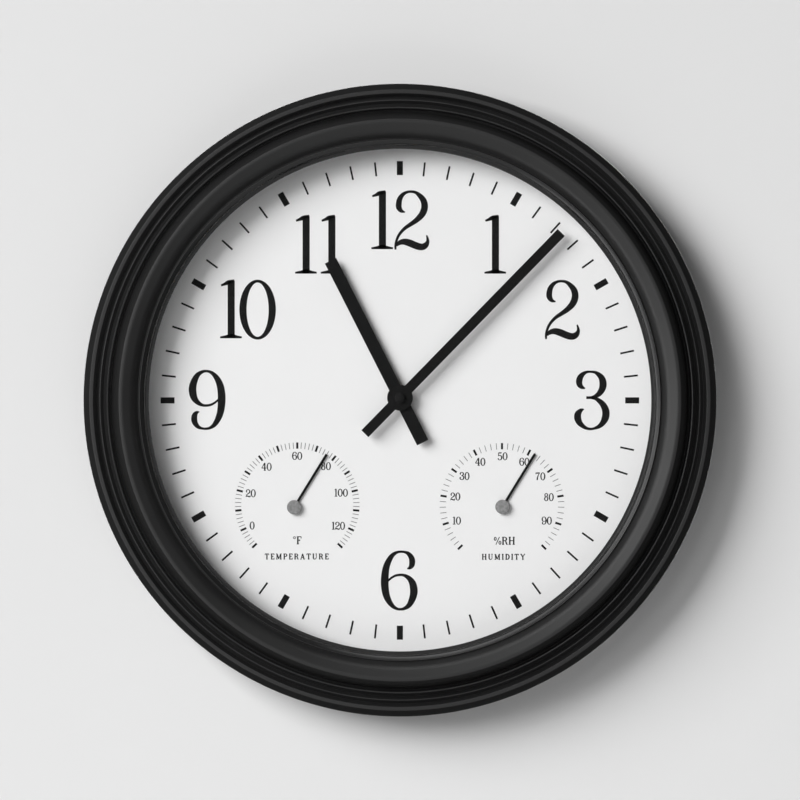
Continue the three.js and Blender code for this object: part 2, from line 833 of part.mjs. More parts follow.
function intermediateWheel() {
  const pinionDirection = meshing(intermediateDirection, intermediateLeaves);
  return moved(joined([
    slab(wheel(intermediateTeeth, rotorModule, meshing(rotorDirection + halfTurn, intermediateTeeth)),
      intermediateBack, intermediateFront),
    slab(leaves(intermediateLeaves, intermediateModule, pinionDirection),
      intermediateFront - pinionOverrun, secondsFront + pinionOverrun),
    rod(fineArborRadius, statorBack - seatGap - pivotDepth, bridgeBack + pivotDepth, smallSides),
  ]), intermediatePlace);
}

function secondsWheel() {
  return joined([
    slab(wheel(secondsTeeth, intermediateModule, intermediateDirection), secondsBack, secondsFront),
    slab(leaves(secondsLeaves, secondsModule, thirdDirection), secondsFront - pinionOverrun,
      thirdFront + pinionOverrun),
    rod(secondsArborRadius, statorBack, cannonFront, smallSides),
  ]);
}

function thirdWheel() {
  const back = thirdDirection + halfTurn;
  return moved(joined([
    slab(wheel(thirdTeeth, secondsModule, meshing(thirdDirection, thirdTeeth)), thirdBack, thirdFront),
    slab(leaves(thirdLeaves, thirdModule, back), centreBack - pinionOverrun, centreFront + pinionOverrun),
    rod(arborRadius, statorFront, frontInside + pivotDepth, smallSides),
  ]), thirdPlace);
}

function centreWheel() {
  return cut(joined([
    slab(wheel(centreTeeth, thirdModule, meshing(thirdDirection + halfTurn, centreTeeth)), centreBack, centreFront),
    slab(leaves(cannonLeaves, cannonModule, motionDirection), centreFront - pinionOverrun,
      motionFront + pinionOverrun),
    rod(cannonRadius, centreFront, cannonFront, smallSides),
  ]), [rod(cannonBore, centreBack - cutOverrun, cannonFront + cutOverrun, smallSides)]);
}

function motionWheel() {
  return moved(joined([
    slab(wheel(motionTeeth, cannonModule, meshing(motionDirection, motionTeeth)), motionBack, motionFront),
    slab(leaves(motionLeaves, motionModule, meshing(motionDirection, motionLeaves)),
      motionFront - pinionOverrun, hourFront + pinionOverrun),
    rod(arborRadius, bridgeFront - pivotDepth, frontInside + pivotDepth, smallSides),
  ]), motionPlace);
}

function hourWheel() {
  return slab(wheel(hourTeeth, motionModule, motionDirection), hourBack, hourFront)
    .add(rod(hourTubeRadius, hourFront - pinionOverrun, hourTubeFront, smallSides))
    .subtract(rod(hourTubeBore, hourBack - cutOverrun, hourTubeFront + cutOverrun, smallSides));
}

// The knob's leaves lie between the motion wheel's teeth, wherever these point.
function knobLeafDirection() {
  const firstTooth = meshing(motionDirection, motionTeeth);
  const turnedBy = (firstTooth - knobDirection) * motionTeeth / knobLeaves;
  return knobDirection + halfTurn + halfTurn / knobLeaves - turnedBy;
}

function settingKnob() {
  const radius = knobDiameter / 2;
  const flutes = Array.from({ length: 2 * knobFlutes }, (_, i) => {
    const angle = Math.PI * i / knobFlutes;
    const reach = i % 2 ? radius : radius - knobFluteDepth;
    return new THREE.Vector2(reach * Math.cos(angle), reach * Math.sin(angle));
  });
  return moved(joined([
    slab(new THREE.Shape(flutes), movementBack - seatGap - knobHeight, movementBack - seatGap),
    rod(knobStemRadius, movementBack - knobHeight, motionFront + pinionOverrun, smallSides),
    slab(leaves(knobLeaves, cannonModule, knobLeafDirection()), motionBack - pinionOverrun,
      motionFront + pinionOverrun),
  ]), knobPlace);
}

const movementBox = (low, high) =>
  block(-movementRight, movementRight, -movementTop, movementTop, low, high);
const trainRoom = (low, high) =>
  block(-innerRight, innerRight, -bayPartitionDrop, innerTop, low, high);
const cellRoom = (low, high) =>
  block(-innerRight, innerRight, -innerTop, -bayPartitionDrop - movementWall, low, high);

const postInset = postDiameter / 2 + seatGap;
const leadFront = seatGap + contactThickness - bayPartitionDrop;
const lowerPostHeight = leadFront + postInset;
const postPlaces = [-1, 1].flatMap((side) => [
  [side * (innerRight - postInset), innerTop - postInset],
  [side * (innerRight - postInset), lowerPostHeight],
]);
const coilLeft = coilStart;
const coilRight = innerRight - coilInset;
const coilRise = innerTop - coilDrop;
const coreLeft = coilLeft - statorBarWidth - bobbinFlange;
const coreRight = coilRight + statorBarWidth + bobbinFlange;

function rearPivots() {
  const boss = (bore, reach, place) => tube(bore + pivotBossWall, bore, rearInside - movementWall / 2, reach,
    smallSides, place);
  return [
    boss(fineArborRadius + runningGap, magnetBack - runningGap, rotorPlace),
    boss(fineArborRadius + runningGap, statorBack - seatGap, intermediatePlace),
    boss(secondsArborRadius + runningGap, intermediateBack, [0, 0]),
    boss(arborRadius + runningGap, secondsBack, thirdPlace),
  ];
}

function contactNotches() {
  const bottom = -bayPartitionDrop - movementWall - cutOverrun;
  const top = cutOverrun - bayPartitionDrop;
  return [-1, 1].map((side) => {
    const wall = side * innerRight;
    const inner = wall - side * (contactThickness + 2 * seatGap);
    return block(Math.min(wall, inner), Math.max(wall, inner), bottom, top,
      cellHeight - contactStripWidth, cellHeight + contactStripWidth);
  });
}

function movementRearCase() {
  const shell = cut(movementBox(movementBack, splitHeight), [
    trainRoom(rearInside, splitHeight + cutOverrun),
    cellRoom(movementBack - cutOverrun, splitHeight + cutOverrun),
    ...contactNotches(),
    rod(knobStemRadius + runningGap, movementBack - cutOverrun, rearInside + cutOverrun,
      smallSides, knobPlace),
  ]);
  const posts = postPlaces.map((place) =>
    rod(postDiameter / 2, rearInside - movementWall / 2, bridgeBack - seatGap, smallSides, place));
  const statorPosts = [coreLeft, coreRight].map((x) => rod(statorBarWidth / 2, rearInside - movementWall / 2,
    statorBack - seatGap, smallSides, [x, coilRise]));
  return joined([shell, ...posts, ...statorPosts, ...rearPivots()]);
}

function movementFrontCase() {
  const shell = cut(movementBox(splitHeight + seatGap, movementFront), [
    trainRoom(splitHeight, frontInside),
    cellRoom(splitHeight, frontInside),
  ]);
  const stem = rod(stemRadius, movementFront - movementWall / 2, stemFront, roundSides);
  const bearings = [thirdPlace, motionPlace].map((place) => rod(arborRadius + runningGap,
    frontInside - cutOverrun, frontInside + pivotDepth + runningGap, smallSides, place));
  return cut(shell.add(stem), [
    rod(stemBore, frontInside - cutOverrun, stemFront + cutOverrun, roundSides), ...bearings,
  ]);
}

function trainBridge() {
  const edge = innerRight - seatGap;
  const plate = block(-edge, edge, seatGap - bayPartitionDrop, innerTop - seatGap, bridgeBack, bridgeFront);
  const hole = (radius, place) =>
    rod(radius + runningGap, bridgeBack - cutOverrun, bridgeFront + cutOverrun, smallSides, place);
  const leadRun = block(-edge - cutOverrun, edge + cutOverrun, -bayPartitionDrop, leadFront + seatGap,
    bridgeBack - cutOverrun, bridgeFront + cutOverrun);
  return cut(plate, [
    hole(secondsArborRadius, [0, 0]),
    hole(thirdModule * (thirdLeaves / 2 + addendumShare), thirdPlace),
    hole(fineArborRadius, intermediatePlace),
    hole(fineArborRadius, rotorPlace),
    hole(arborRadius, motionPlace),
    hole(knobStemRadius, knobPlace),
    leadRun,
  ]);
}

// Motor and circuit

const statorMiddle = (statorBack + statorFront) / 2;

function stator() {
  const half = statorBarWidth / 2;
  const bar = (middle) => block(coreLeft - half, coreRight + half, middle - half, middle + half,
    statorBack, statorFront);
  const leg = (middle) => block(middle - half, middle + half, rotorPlace[1] - half, coilRise + half,
    statorBack, statorFront);
  const pole = magnetDiameter / 2 + poleClearance;
  const ring = rod(pole + poleWall, statorBack, statorFront, roundSides, rotorPlace);
  return cut(joined([bar(coilRise), bar(rotorPlace[1]), leg(coreLeft), leg(coreRight), ring]), [
    rod(pole, statorBack - cutOverrun, statorFront + cutOverrun, roundSides, rotorPlace),
  ]);
}

function aroundCore(left, right, rise, depth) {
  return block(left, right, coilRise - rise, coilRise + rise, statorMiddle - depth, statorMiddle + depth);
}

const bobbinRise = statorBarWidth / 2 + seatGap;
const bobbinDepth = statorThickness / 2 + seatGap;

function coilBobbin() {
  const flange = (left) => aroundCore(left, left + bobbinFlange, coilHeight / 2, coilDepth / 2);
  return cut(joined([
    aroundCore(coilLeft, coilRight, bobbinRise + bobbinWall, bobbinDepth + bobbinWall),
    flange(coilLeft),
    flange(coilRight - bobbinFlange),
  ]), [aroundCore(coilLeft - cutOverrun, coilRight + cutOverrun, bobbinRise, bobbinDepth)]);
}

function coilWinding() {
  const left = coilLeft + bobbinFlange + seatGap;
  const right = coilRight - bobbinFlange - seatGap;
  const core = bobbinWall + seatGap;
  return aroundCore(left, right, coilHeight / 2 - seatGap, coilDepth / 2 - seatGap).subtract(
    aroundCore(left - cutOverrun, right + cutOverrun, bobbinRise + core, bobbinDepth + core));
}

const circuitBack = rearInside + seatGap;
const circuitFront = circuitBack + circuitThickness;
const circuitLeft = seatGap - innerRight;
const circuitBottom = lowerPostHeight + postDiameter / 2 + seatGap;
const circuitMiddle = circuitLeft + circuitWidth / 2;

function circuitBoard() {
  const board = block(circuitLeft, circuitLeft + circuitWidth, circuitBottom, circuitBottom + circuitLength,
    circuitBack, circuitFront);
  const chip = rod(chipDiameter / 2, circuitFront - circuitThickness / 2, circuitFront + circuitThickness,
    smallSides, [circuitMiddle, circuitBottom + circuitLength / 2]);
  return board.add(chip);
}

function quartzCrystal() {
  const can = rod(crystalDiameter / 2, -crystalLength, 0, smallSides).rotate([quarterTurn, 0, 0]);
  return can.translate([circuitMiddle, -(circuitFront + seatGap + crystalDiameter / 2),
    circuitBottom + circuitLength - crystalLength - circuitThickness]);
}

// A contact's end plate, its lead through the notch and its foot over the circuit board.
function contact(side, foot) {
  const strip = (x0, x1, z0, z1, low, high) =>
    block(Math.min(side * x0, side * x1), Math.max(side * x0, side * x1), z0, z1, low, high);
  const outer = innerRight - seatGap;
  const inner = outer - contactThickness;
  const half = contactWidth / 2;
  const leadHalf = contactStripWidth / 2;
  const footInner = foot - contactStripWidth;
  const footBack = circuitFront + seatGap;
  const leadBack = leadFront - contactThickness;
  return joined([
    strip(inner, outer, cellRise - half, cellRise + half, cellHeight - half, cellHeight + half),
    strip(inner, outer, cellRise, leadFront, cellHeight - leadHalf, cellHeight + leadHalf),
    strip(footInner, outer, leadBack, leadFront, cellHeight - leadHalf, cellHeight + leadHalf),
    strip(footInner, foot, leadBack, leadFront, footBack, cellHeight + leadHalf),
    strip(footInner, foot, leadBack, circuitBottom + contactStripWidth, footBack, footBack + contactThickness),
  ]);
}

const springFixed = contactThickness / 2 + seatGap - innerRight;
const springFree = cellEnd - cellLength - seatGap - springWire / 2;

// Points of the conical spring's centre line, which winds in towards the cell.
function springPoints() {
  const count = Math.round(springTurns * 2 * spiralSteps);
  return Array.from({ length: count + 1 }, (_, i) => {
    const way = i / count;
    const angle = 2 * Math.PI * springTurns * way;
    const reach = (springOuterDiameter + (springInnerDiameter - springOuterDiameter) * way - springWire) / 2;
    return new THREE.Vector3(springFixed + (springFree - springFixed) * way,
      reach * Math.cos(angle) - cellHeight, reach * Math.sin(angle) + cellRise);
  });
}

function springCoil() {
  const section = new THREE.Shape(circlePoints(springWire / 2, wireSides));
  const extrudePath = new THREE.CatmullRomCurve3(springPoints());
  const steps = Math.round(springTurns * spiralSteps);
  return solid(new THREE.ExtrudeGeometry(section, { extrudePath, steps }));
}

function negativeContact() {
  return contact(-1, -circuitLeft - 2 * contactStripWidth).add(springCoil());
}

function cell() {
  const body = turned([
    [0, 0],
    [cellDiameter / 2, 0],
    [cellDiameter / 2, cellLength - cellNubLength],
    [cellNubDiameter / 2, cellLength - cellNubLength],
    [cellNubDiameter / 2, cellLength],
    [0, cellLength],
  ], roundSides);
  return body.rotate([0, 0, quarterTurn]).translate([cellEnd - cellLength, -cellHeight, cellRise]);
}

function rubberWasher() {
  return tube(rubberWasherDiameter / 2, stemRadius + seatGap, movementFront + seatGap, dialBack - seatGap,
    roundSides);
}

function stemNut() {
  const shape = new THREE.Shape(circlePoints(stemNutFlats / Math.sqrt(3), stemNutSides));
  shape.holes.push(circleHole(stemRadius + seatGap, roundSides));
  return slab(shape, stemNutBack, stemNutFront);
}

function buildMovement() {
  addPart(handAxis, "movement_front_case", movementFrontCase(), matteBlack());
  addPart(handAxis, "movement_rear_case", movementRearCase(), matteBlack());
  addPart(handAxis, "train_bridge", trainBridge(), matteBlack());
  addPart(handAxis, "rubber_washer", rubberWasher(), rubber());
  addPart(handAxis, "brass_washer", tube(brassWasherDiameter / 2, stemRadius + seatGap, brassWasherBack,
    brassWasherBack + brassWasherThickness, roundSides), brass());
  addPart(handAxis, "stem_nut", stemNut(), brass());
  addPart(handAxis, "rotor", rotor(), magnetGrey());
  addPart(handAxis, "intermediate_wheel", intermediateWheel(), whiteNylon());
  addPart(handAxis, "seconds_wheel", secondsWheel(), whiteNylon());
  addPart(handAxis, "third_wheel", thirdWheel(), whiteNylon());
  addPart(handAxis, "centre_wheel", centreWheel(), whiteNylon());
  addPart(handAxis, "motion_wheel", motionWheel(), whiteNylon());
  addPart(handAxis, "hour_wheel", hourWheel(), whiteNylon());
  addPart(handAxis, "setting_knob", settingKnob(), redNylon());
  addPart(handAxis, "stator", stator(), zincSteel());
  addPart(handAxis, "coil_bobbin", coilBobbin(), whiteNylon());
  addPart(handAxis, "coil_winding", coilWinding(), copper());
  addPart(handAxis, "circuit_board", circuitBoard(), circuitGreen());
  addPart(handAxis, "quartz_crystal", quartzCrystal(), zincSteel());
  addPart(handAxis, "positive_contact", contact(1, circuitLeft + circuitWidth), zincSteel());
  addPart(handAxis, "negative_contact", negativeContact(), zincSteel());
  addPart(handAxis, "cell", cell(), cellJacket());
}

// Gauges, built about their own spindles

const gaugeHousingRadius = gaugeHousingDiameter / 2;
const spindleRadius = spindleDiameter / 2;
const spindleCollarRadius = spindleCollarDiameter / 2;
const gaugeFloor = housingFront - gaugeWall;
const gaugeBridgeFront = housingBack + gaugeWall;
const coilStripBack = (gaugeFloor + gaugeBridgeFront - coilStripWidth) / 2;
const anchorInner = gaugeHousingRadius - gaugeWall - anchorLength;

function gaugeHousing() {
  const inner = gaugeHousingRadius - gaugeWall;
  const cup = turned([
    [0, housingFront],
    [gaugeHousingRadius, housingFront],
    [gaugeHousingRadius, housingBack],
    [inner, housingBack],
    [inner, gaugeFloor],
    [0, gaugeFloor],
  ], roundSides);
  const middle = inner + gaugeWall / 2;
  const bar = block(-middle, middle, -gaugeBridgeWidth / 2, gaugeBridgeWidth / 2,
    housingBack, gaugeBridgeFront);
  const anchor = block(anchorInner, middle, -anchorWidth / 2, anchorWidth / 2,
    gaugeBridgeFront - gaugeWall / 2, gaugeFloor + gaugeWall / 2);
  return cut(joined([cup, bar, anchor]), [
    rod(spindleRadius + runningGap, gaugeFloor - cutOverrun, housingFront + cutOverrun, smallSides),
    rod(spindleRadius + runningGap, gaugeBridgeFront - pivotDepth - runningGap, gaugeBridgeFront + cutOverrun,
      smallSides),
  ]);
}

// Points of the flat strip, which winds out in even turns from the spindle's collar to the anchor.
function gaugeCoilPoints(outward) {
  const start = spindleCollarRadius + seatGap + coilStripThickness / 2;
  const end = anchorInner - seatGap - coilStripThickness / 2;
  const count = coilTurns * spiralSteps;
  return Array.from({ length: count + 1 }, (_, i) => {
    const reach = start + (end - start) * i / count + outward;
    const angle = 2 * Math.PI * i / spiralSteps;
    return new THREE.Vector2(reach * Math.cos(angle), reach * Math.sin(angle));
  });
}

function gaugeCoil() {
  const half = coilStripThickness / 2;
  const shape = new THREE.Shape([...gaugeCoilPoints(half), ...gaugeCoilPoints(-half).reverse()]);
  return slab(shape, coilStripBack, coilStripBack + coilStripWidth);
}

function gaugeSpindle() {
  return joined([
    rod(spindleRadius, gaugeBridgeFront - pivotDepth, spindleFront, smallSides),
    rod(spindleCollarRadius, gaugeBridgeFront + runningGap, gaugeFloor - runningGap, smallSides),
  ]);
}

function gaugePointer() {
  const hub = rod(pointerHubDiameter / 2, pointerBack, pointerFront, smallSides);
  const strip = slab(handStrip(pointerWidth, pointerReach, 0), pointerBack, pointerFront);
  return cut(hub.add(strip), [
    rod(spindleRadius + seatGap, pointerBack - cutOverrun, pointerFront + cutOverrun, smallSides),
  ]);
}

function gaugeCap() {
  const bore = spindleRadius + seatGap;
  return turned([
    [bore, gaugeCapBack],
    [gaugeCapDiameter / 2, gaugeCapBack],
    [gaugeCapDiameter / 2, gaugeCapFront - gaugeCapFace / 2],
    [(gaugeCapDiameter - gaugeCapFace) / 2, gaugeCapFront],
    [0, gaugeCapFront],
    [0, gaugeCapFront - gaugeCapFace],
    [bore, gaugeCapFront - gaugeCapFace],
  ], roundSides);
}

function buildGauge(name, [x, z]) {
  const gauge = new THREE.Group();
  gauge.position.set(x, 0, z);
  casing.add(gauge);
  addPart(gauge, `${name}_housing`, gaugeHousing(), matteBlack());
  addPart(gauge, `${name}_coil`, gaugeCoil(), bimetal());
  addPart(gauge, `${name}_spindle`, gaugeSpindle(), zincSteel());
  addPart(gauge, `${name}_pointer`, spun(gaugePointer(), gaugePointerAngle), handBlack());
  addPart(gauge, `${name}_cap`, gaugeCap(), hubGrey());
}

const springGap = leastTurnGap(springPoints(), 2 * spiralSteps, springWire);
const coilGap = leastTurnGap(gaugeCoilPoints(0), spiralSteps, coilStripThickness);
console.log(`least gap between turns: spring ${springGap.toFixed(2)} mm, coils ${coilGap.toFixed(2)} mm`);

buildCase();
buildHands();
buildMovement();
buildGauge("thermometer", thermometerPlace);
buildGauge("hygrometer", hygrometerPlace);

export default clock;
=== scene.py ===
"""Looks of an 18 inch outdoor wall clock with a thermometer and a hygrometer, built around its CAD frame.

Metres. X points right and Z up for someone who faces the dial, and Y points into the wall.
A height is a distance out from the wall. Places on the dial are measured from the case's centre.
"""

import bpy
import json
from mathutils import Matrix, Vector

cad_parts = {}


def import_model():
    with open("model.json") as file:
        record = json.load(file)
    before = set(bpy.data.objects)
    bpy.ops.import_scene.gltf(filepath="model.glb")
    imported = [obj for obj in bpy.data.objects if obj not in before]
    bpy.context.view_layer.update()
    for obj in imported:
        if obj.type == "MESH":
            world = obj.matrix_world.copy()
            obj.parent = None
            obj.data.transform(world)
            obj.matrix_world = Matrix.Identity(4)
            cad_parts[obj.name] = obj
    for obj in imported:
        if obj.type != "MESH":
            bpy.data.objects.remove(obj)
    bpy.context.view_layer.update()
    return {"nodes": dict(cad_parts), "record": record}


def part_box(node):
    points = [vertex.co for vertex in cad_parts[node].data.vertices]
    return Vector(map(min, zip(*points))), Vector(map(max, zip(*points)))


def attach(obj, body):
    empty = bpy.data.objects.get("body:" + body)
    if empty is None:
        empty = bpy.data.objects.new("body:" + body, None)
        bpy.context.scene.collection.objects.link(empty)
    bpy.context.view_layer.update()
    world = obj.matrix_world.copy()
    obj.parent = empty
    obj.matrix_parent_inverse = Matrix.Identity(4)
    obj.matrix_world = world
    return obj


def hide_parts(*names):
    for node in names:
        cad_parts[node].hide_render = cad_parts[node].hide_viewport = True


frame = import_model()

import json
import math

import bmesh
import bpy
from mathutils import Matrix, Vector

MM = 0.001

# Photograph: the case's outer edge is 633 pixels across in a picture 800 pixels wide
PICTURE_PIXELS = 800
CASE_PIXELS = 633
CENTRE_PIXEL = (400.0, 400.1)

# Camera: distance in metres, and the width of its sensor in millimetres
CAMERA_DISTANCE = 12.0
SENSOR = 36.0

# Moulding of the bezel
MOULDING_WIDTH = 46.8 * MM
MOULDING_RISE = 20.8 * MM
SKIRT_FILLET = 0.8 * MM
SKIRT_WALL = 2.4 * MM
LIP_RECESS = 7.2 * MM
LIP_THICKNESS = 1.4 * MM
LIP_OVERHANG = 0.5 * MM
SEAT_RADIUS_GAIN = 6.7 * MM
INNER_WALL_BELOW_DIAL = 3 * MM
LIP_ROUNDING = 0.3 * MM
LIP_EDGE_ROUNDING = 0.25 * MM
INNER_ROUNDING = 0.2 * MM
UNDERSIDE_FILLET = 1 * MM
# Each corner as shares of the width and of the rise, and the radius that rounds it in millimetres
MOULDING = [
    (0.0, 0.0, 1.5), (0.092, 0.35, 0.4), (0.153, 0.352, 0.4),
    (0.203, 0.15, 0.15), (0.25, 0.262, 0.2), (0.264, 0.262, 0.2),
    (0.312, 0.15, 0.15), (0.354, 0.27, 0.2), (0.36, 0.44, 0.4), (0.388, 0.43, 0.5),
    (0.412, 0.27, 0.2), (0.44, 0.31, 0.4), (0.46, 0.64, 2.0), (0.498, 0.87, 1.4), (0.55, 0.993, 0.3),
    (0.6, 1.0, 2.4), (0.757, 0.905, 3.0), (0.848, 0.715, 0.5),
    (0.866, 0.8, 0.5), (0.932, 0.735, 0.6),
]
LIP_START_SHARE = 0.962
# The hollow side's corners as shares of the width and of the rise, from the opening outwards
UNDERSIDE = [(0.74, 0.8), (0.62, 0.88), (0.545, 0.72), (0.505, 0.25), (0.33, 0.05), (0.11, 0.05)]
# Where the glossy bead starts and how soon its gloss is full, as shares of the width
BEAD_START_SHARE = 0.876
BEAD_BLEND_SHARE = 0.004
BEAD_ROUGHNESS = 0.18

# Print on the dial
INK_LIFT = 0.06 * MM
TRACK_CENTRE = (-0.1 * MM, -0.2 * MM)
TRACK_INNER = 162.8 * MM
TRACK_OUTER = 172.9 * MM
HOUR_TICK_WIDTH = 4.4 * MM
MINUTE_TICK_WIDTH = 1.32 * MM
NUMERAL_HEIGHT = 42.7 * MM
# What each stroke gains in width, in hundredths of the height
NUMERAL_WEIGHT = 0.8
# Middles of the numerals, in millimetres
NUMERAL_PLACES = {
    "12": (0.0, 130.1), "1": (68.7, 112.4), "2": (117.2, 65.4), "3": (138.6, -0.1),
    "6": (-0.6, -130.3), "9": (-139.3, 0.3), "10": (-110.0, 65.7), "11": (-58.8, 112.4),
}
# From the left edge of a 1 to the left edge of the digit after it, in hundredths of the height
ADVANCE_AFTER_ONE = {"0": 33.3, "1": 43.5, "2": 39.5}

# Gauges: the scales' centres from the case's centre, and, in millimetres, the labels from the scales' centres
GAUGE_CENTRES = {"thermometer": (-74.25 * MM, -75.6 * MM), "hygrometer": (73.7 * MM, -76.05 * MM)}
# Lowest and highest value, steps between heavy ticks and between fine ticks, and degrees from end to end
SCALES = {"thermometer": (-10, 130, 10, 2, 267.4), "hygrometer": (0, 100, 10, 2, 270.0)}
SCALE_OUTER = 45.0 * MM
SCALE_INNER = 40.5 * MM
MAJOR_TICK_WIDTH = 1.5 * MM
MINOR_TICK_WIDTH = 0.45 * MM
GAUGE_LABELS = {
    "thermometer": {
        "0": (-32.6, -15.0), "20": (-33.6, 8.3), "40": (-22.2, 27.5), "60": (-0.1, 35.3),
        "80": (20.7, 27.9), "100": (31.7, 8.7), "120": (29.7, -15.2), "°F": (0.0, -25.7),
    },
    "hygrometer": {
        "10": (-32.7, -11.0), "20": (-33.7, 6.4), "30": (-27.1, 21.2), "40": (-15.7, 31.5),
        "50": (0.4, 35.5), "60": (16.1, 31.5), "70": (27.7, 21.0), "80": (33.8, 6.0), "90": (32.3, -11.0),
        "%RH": (1.7, -25.6),
    },
}
# Word, place of its middle and width, in millimetres
GAUGE_WORDS = {
    "thermometer": ("TEMPERATURE", -0.4, -37.4, 46.0),
    "hygrometer": ("HUMIDITY", 1.1, -37.2, 31.4),
}
LABEL_HEIGHT = 5.5 * MM
WORD_HEIGHT = 4.0 * MM
# Gap between letters, and what each stroke gains in width, in hundredths of the letters' height
LABEL_GAP = 7.0
LABEL_WEIGHT = 5.0
WORD_WEIGHT = 8.0

# Hands: node, body, clockwise angle, reach, tail, width, radius of the hub and of its bore
HANDS = [
    ("hour_hand", "hour", 333.1, 111 * MM, 36.3 * MM, 9.1 * MM, 7.5 * MM, 3.0 * MM),
    ("minute_hand", "minute", 44.3, 166.7 * MM, 36.3 * MM, 7.2 * MM, 9.3 * MM, 1.9 * MM),
]
HAND_ROUNDING = 0.2 * MM
POINTER_ANGLE = 31.6
POINTER_REACH = 44.9 * MM
POINTER_WIDTH = 1.8 * MM
POINTER_HUB = 2.6 * MM
POINTER_BORE = 1.05 * MM
POINTER_ROUNDING = 0.08 * MM
# Turned caps, corner by corner: share of the radius, and depth behind the front and rounding in millimetres.
# A corner whose depth is None lies on the back.
NUT_PROFILE = [
    (0.5, None, 0.1), (1, None, 0.15), (1, 0.75, 0.3), (0.8, 0.4, 0.2), (0.74, 0.5, 0.1), (0.66, 0.2, 0.2),
    (0, 0, 0), (0, 1, 0), (0.5, 1, 0.1),
]
CAP_PROFILE = [(0.2, None, 0.1), (1, None, 0.1), (1, 0, 0.45), (0, 0, 0), (0, 0.7, 0), (0.2, 0.7, 0.1)]

# Stage
WALL_HALF_WIDTH = 1.6
WALL_TOP = 1.2
WALL_GAP = 0.5 * MM
WALL_COLOUR = 0.8
FLOOR_Z = -1.4
FLOOR_DEPTH = 2.0
FLOOR_COLOUR = 0.78
STAGE_SPECULAR = 0.1
AMBIENT = 0.05
BACKGROUND = 0.8
# Lamps: azimuth from the right towards the top and angle off the dial's axis, both in degrees, then distance,
# length, width, watts, whether gloss mirrors the lamp and whether it lights matt surfaces
LAMPS = {
    "key": (150, 53, 14.0, 8.5, 8.5, 2410, False, True),
    "front": (180, 2, 4.0, 3.2, 3.2, 6.5, True, True),
    "side": (160, 27, 4.0, 1.9, 1.7, 16, True, True),
    "rim": (158, 50, 4.0, 0.9, 3.4, 16, True, False),
    "rim_top": (105, 50, 4.0, 0.9, 3.4, 16, True, False),
    "rim_left": (211, 50, 4.0, 0.9, 3.4, 16, True, False),
    "low": (278, 40, 1.8, 1.8, 1.8, 2.4, True, True),
    "back": (90, 176, 4.0, 2.6, 2.6, 130, True, True),
}

# Surfaces: the noise values between which a patch turns from dark to light, and the detail of each noise
PATCH_EDGES = (0.3, 0.7)
PATCH_DETAIL = 4.0
GRAIN_DETAIL = 2.0
STAGE_DETAIL = 3.0
GRAIN_STRENGTH = 0.6
GLASS_ROUGHNESS = 0.02
# Lower than real glass, so that the lens mirrors as little as the photographed one
GLASS_IOR = 1.2

# Shape resolution, and the longest share of a side that a fillet takes
RING_SIDES = 288
ROUND_SIDES = 64
FILLET_SIDE_SHARE = 0.45
FILLET_STEPS = 8
STROKE_STEPS = 6
PLATE_BEVEL_STEPS = 2
SHARP_ANGLE = 35
PLATE_SHARP_ANGLE = 50


# Places and sizes read from the frame

def centre_of(node):
    low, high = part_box(node)
    return (low + high) / 2


def radius_of(node):
    low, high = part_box(node)
    return (high.x - low.x) / 2


def back_of(node):
    return -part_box(node)[1].y


def front_of(node):
    return -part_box(node)[0].y


CASE_CENTRE = centre_of("bezel")
CASE_RADIUS = radius_of("bezel")
CASE_FRONT = front_of("bezel")
SKIRT_BACK = back_of("bezel")
OPENING_RADIUS = CASE_RADIUS - MOULDING_WIDTH
EDGE_HEIGHT = CASE_FRONT - MOULDING_RISE
DIAL_FRONT = front_of("dial")
DIAL_BACK = back_of("dial")
HAND_CENTRE = centre_of("hand_cap_nut")


# Mesh helpers

def add_object(name, data, body, replaced=()):
    """A piece that rides a body and the nodes that it takes over, if any."""
    piece = bpy.data.objects.new(name, data)
    bpy.context.scene.collection.objects.link(piece)
    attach(piece, body)
    if replaced:
        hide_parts(*replaced)
    return piece


def mesh_from(bm, name):
    """A mesh that is shaded smoothly up to the sharp angle."""
    mesh = bpy.data.meshes.new(name)
    bmesh.ops.recalc_face_normals(bm, faces=bm.faces)
    bm.to_mesh(mesh)
    bm.free()
    mesh.shade_smooth()
    mesh.set_sharp_from_angle(angle=math.radians(SHARP_ANGLE))
    return mesh


def on_dial(x, z, height, centre=CASE_CENTRE):
    """The point x to the right of the centre and z above it, at a height out from the wall."""
    return Vector((centre.x + x, -height, centre.z + z))


def rounded(corners):
    """A closed profile whose corners (radius, height, rounding) are drawn as short curves."""
    points = []
    for i, (radius, height, rounding) in enumerate(corners):
        here = Vector((radius, height))
        before = Vector(corners[i - 1][:2]) - here
        after = Vector(corners[(i + 1) % len(corners)][:2]) - here
        if rounding <= 0 or radius == 0:
            points.append((radius, height))
            continue
        reach = min(rounding, before.length * FILLET_SIDE_SHARE, after.length * FILLET_SIDE_SHARE)
        start = here + before.normalized() * reach
        end = here + after.normalized() * reach
        for step in range(FILLET_STEPS + 1):
            t = step / FILLET_STEPS
            point = start * (1 - t) ** 2 + here * 2 * t * (1 - t) + end * t ** 2
            points.append((point.x, point.y))
    return points


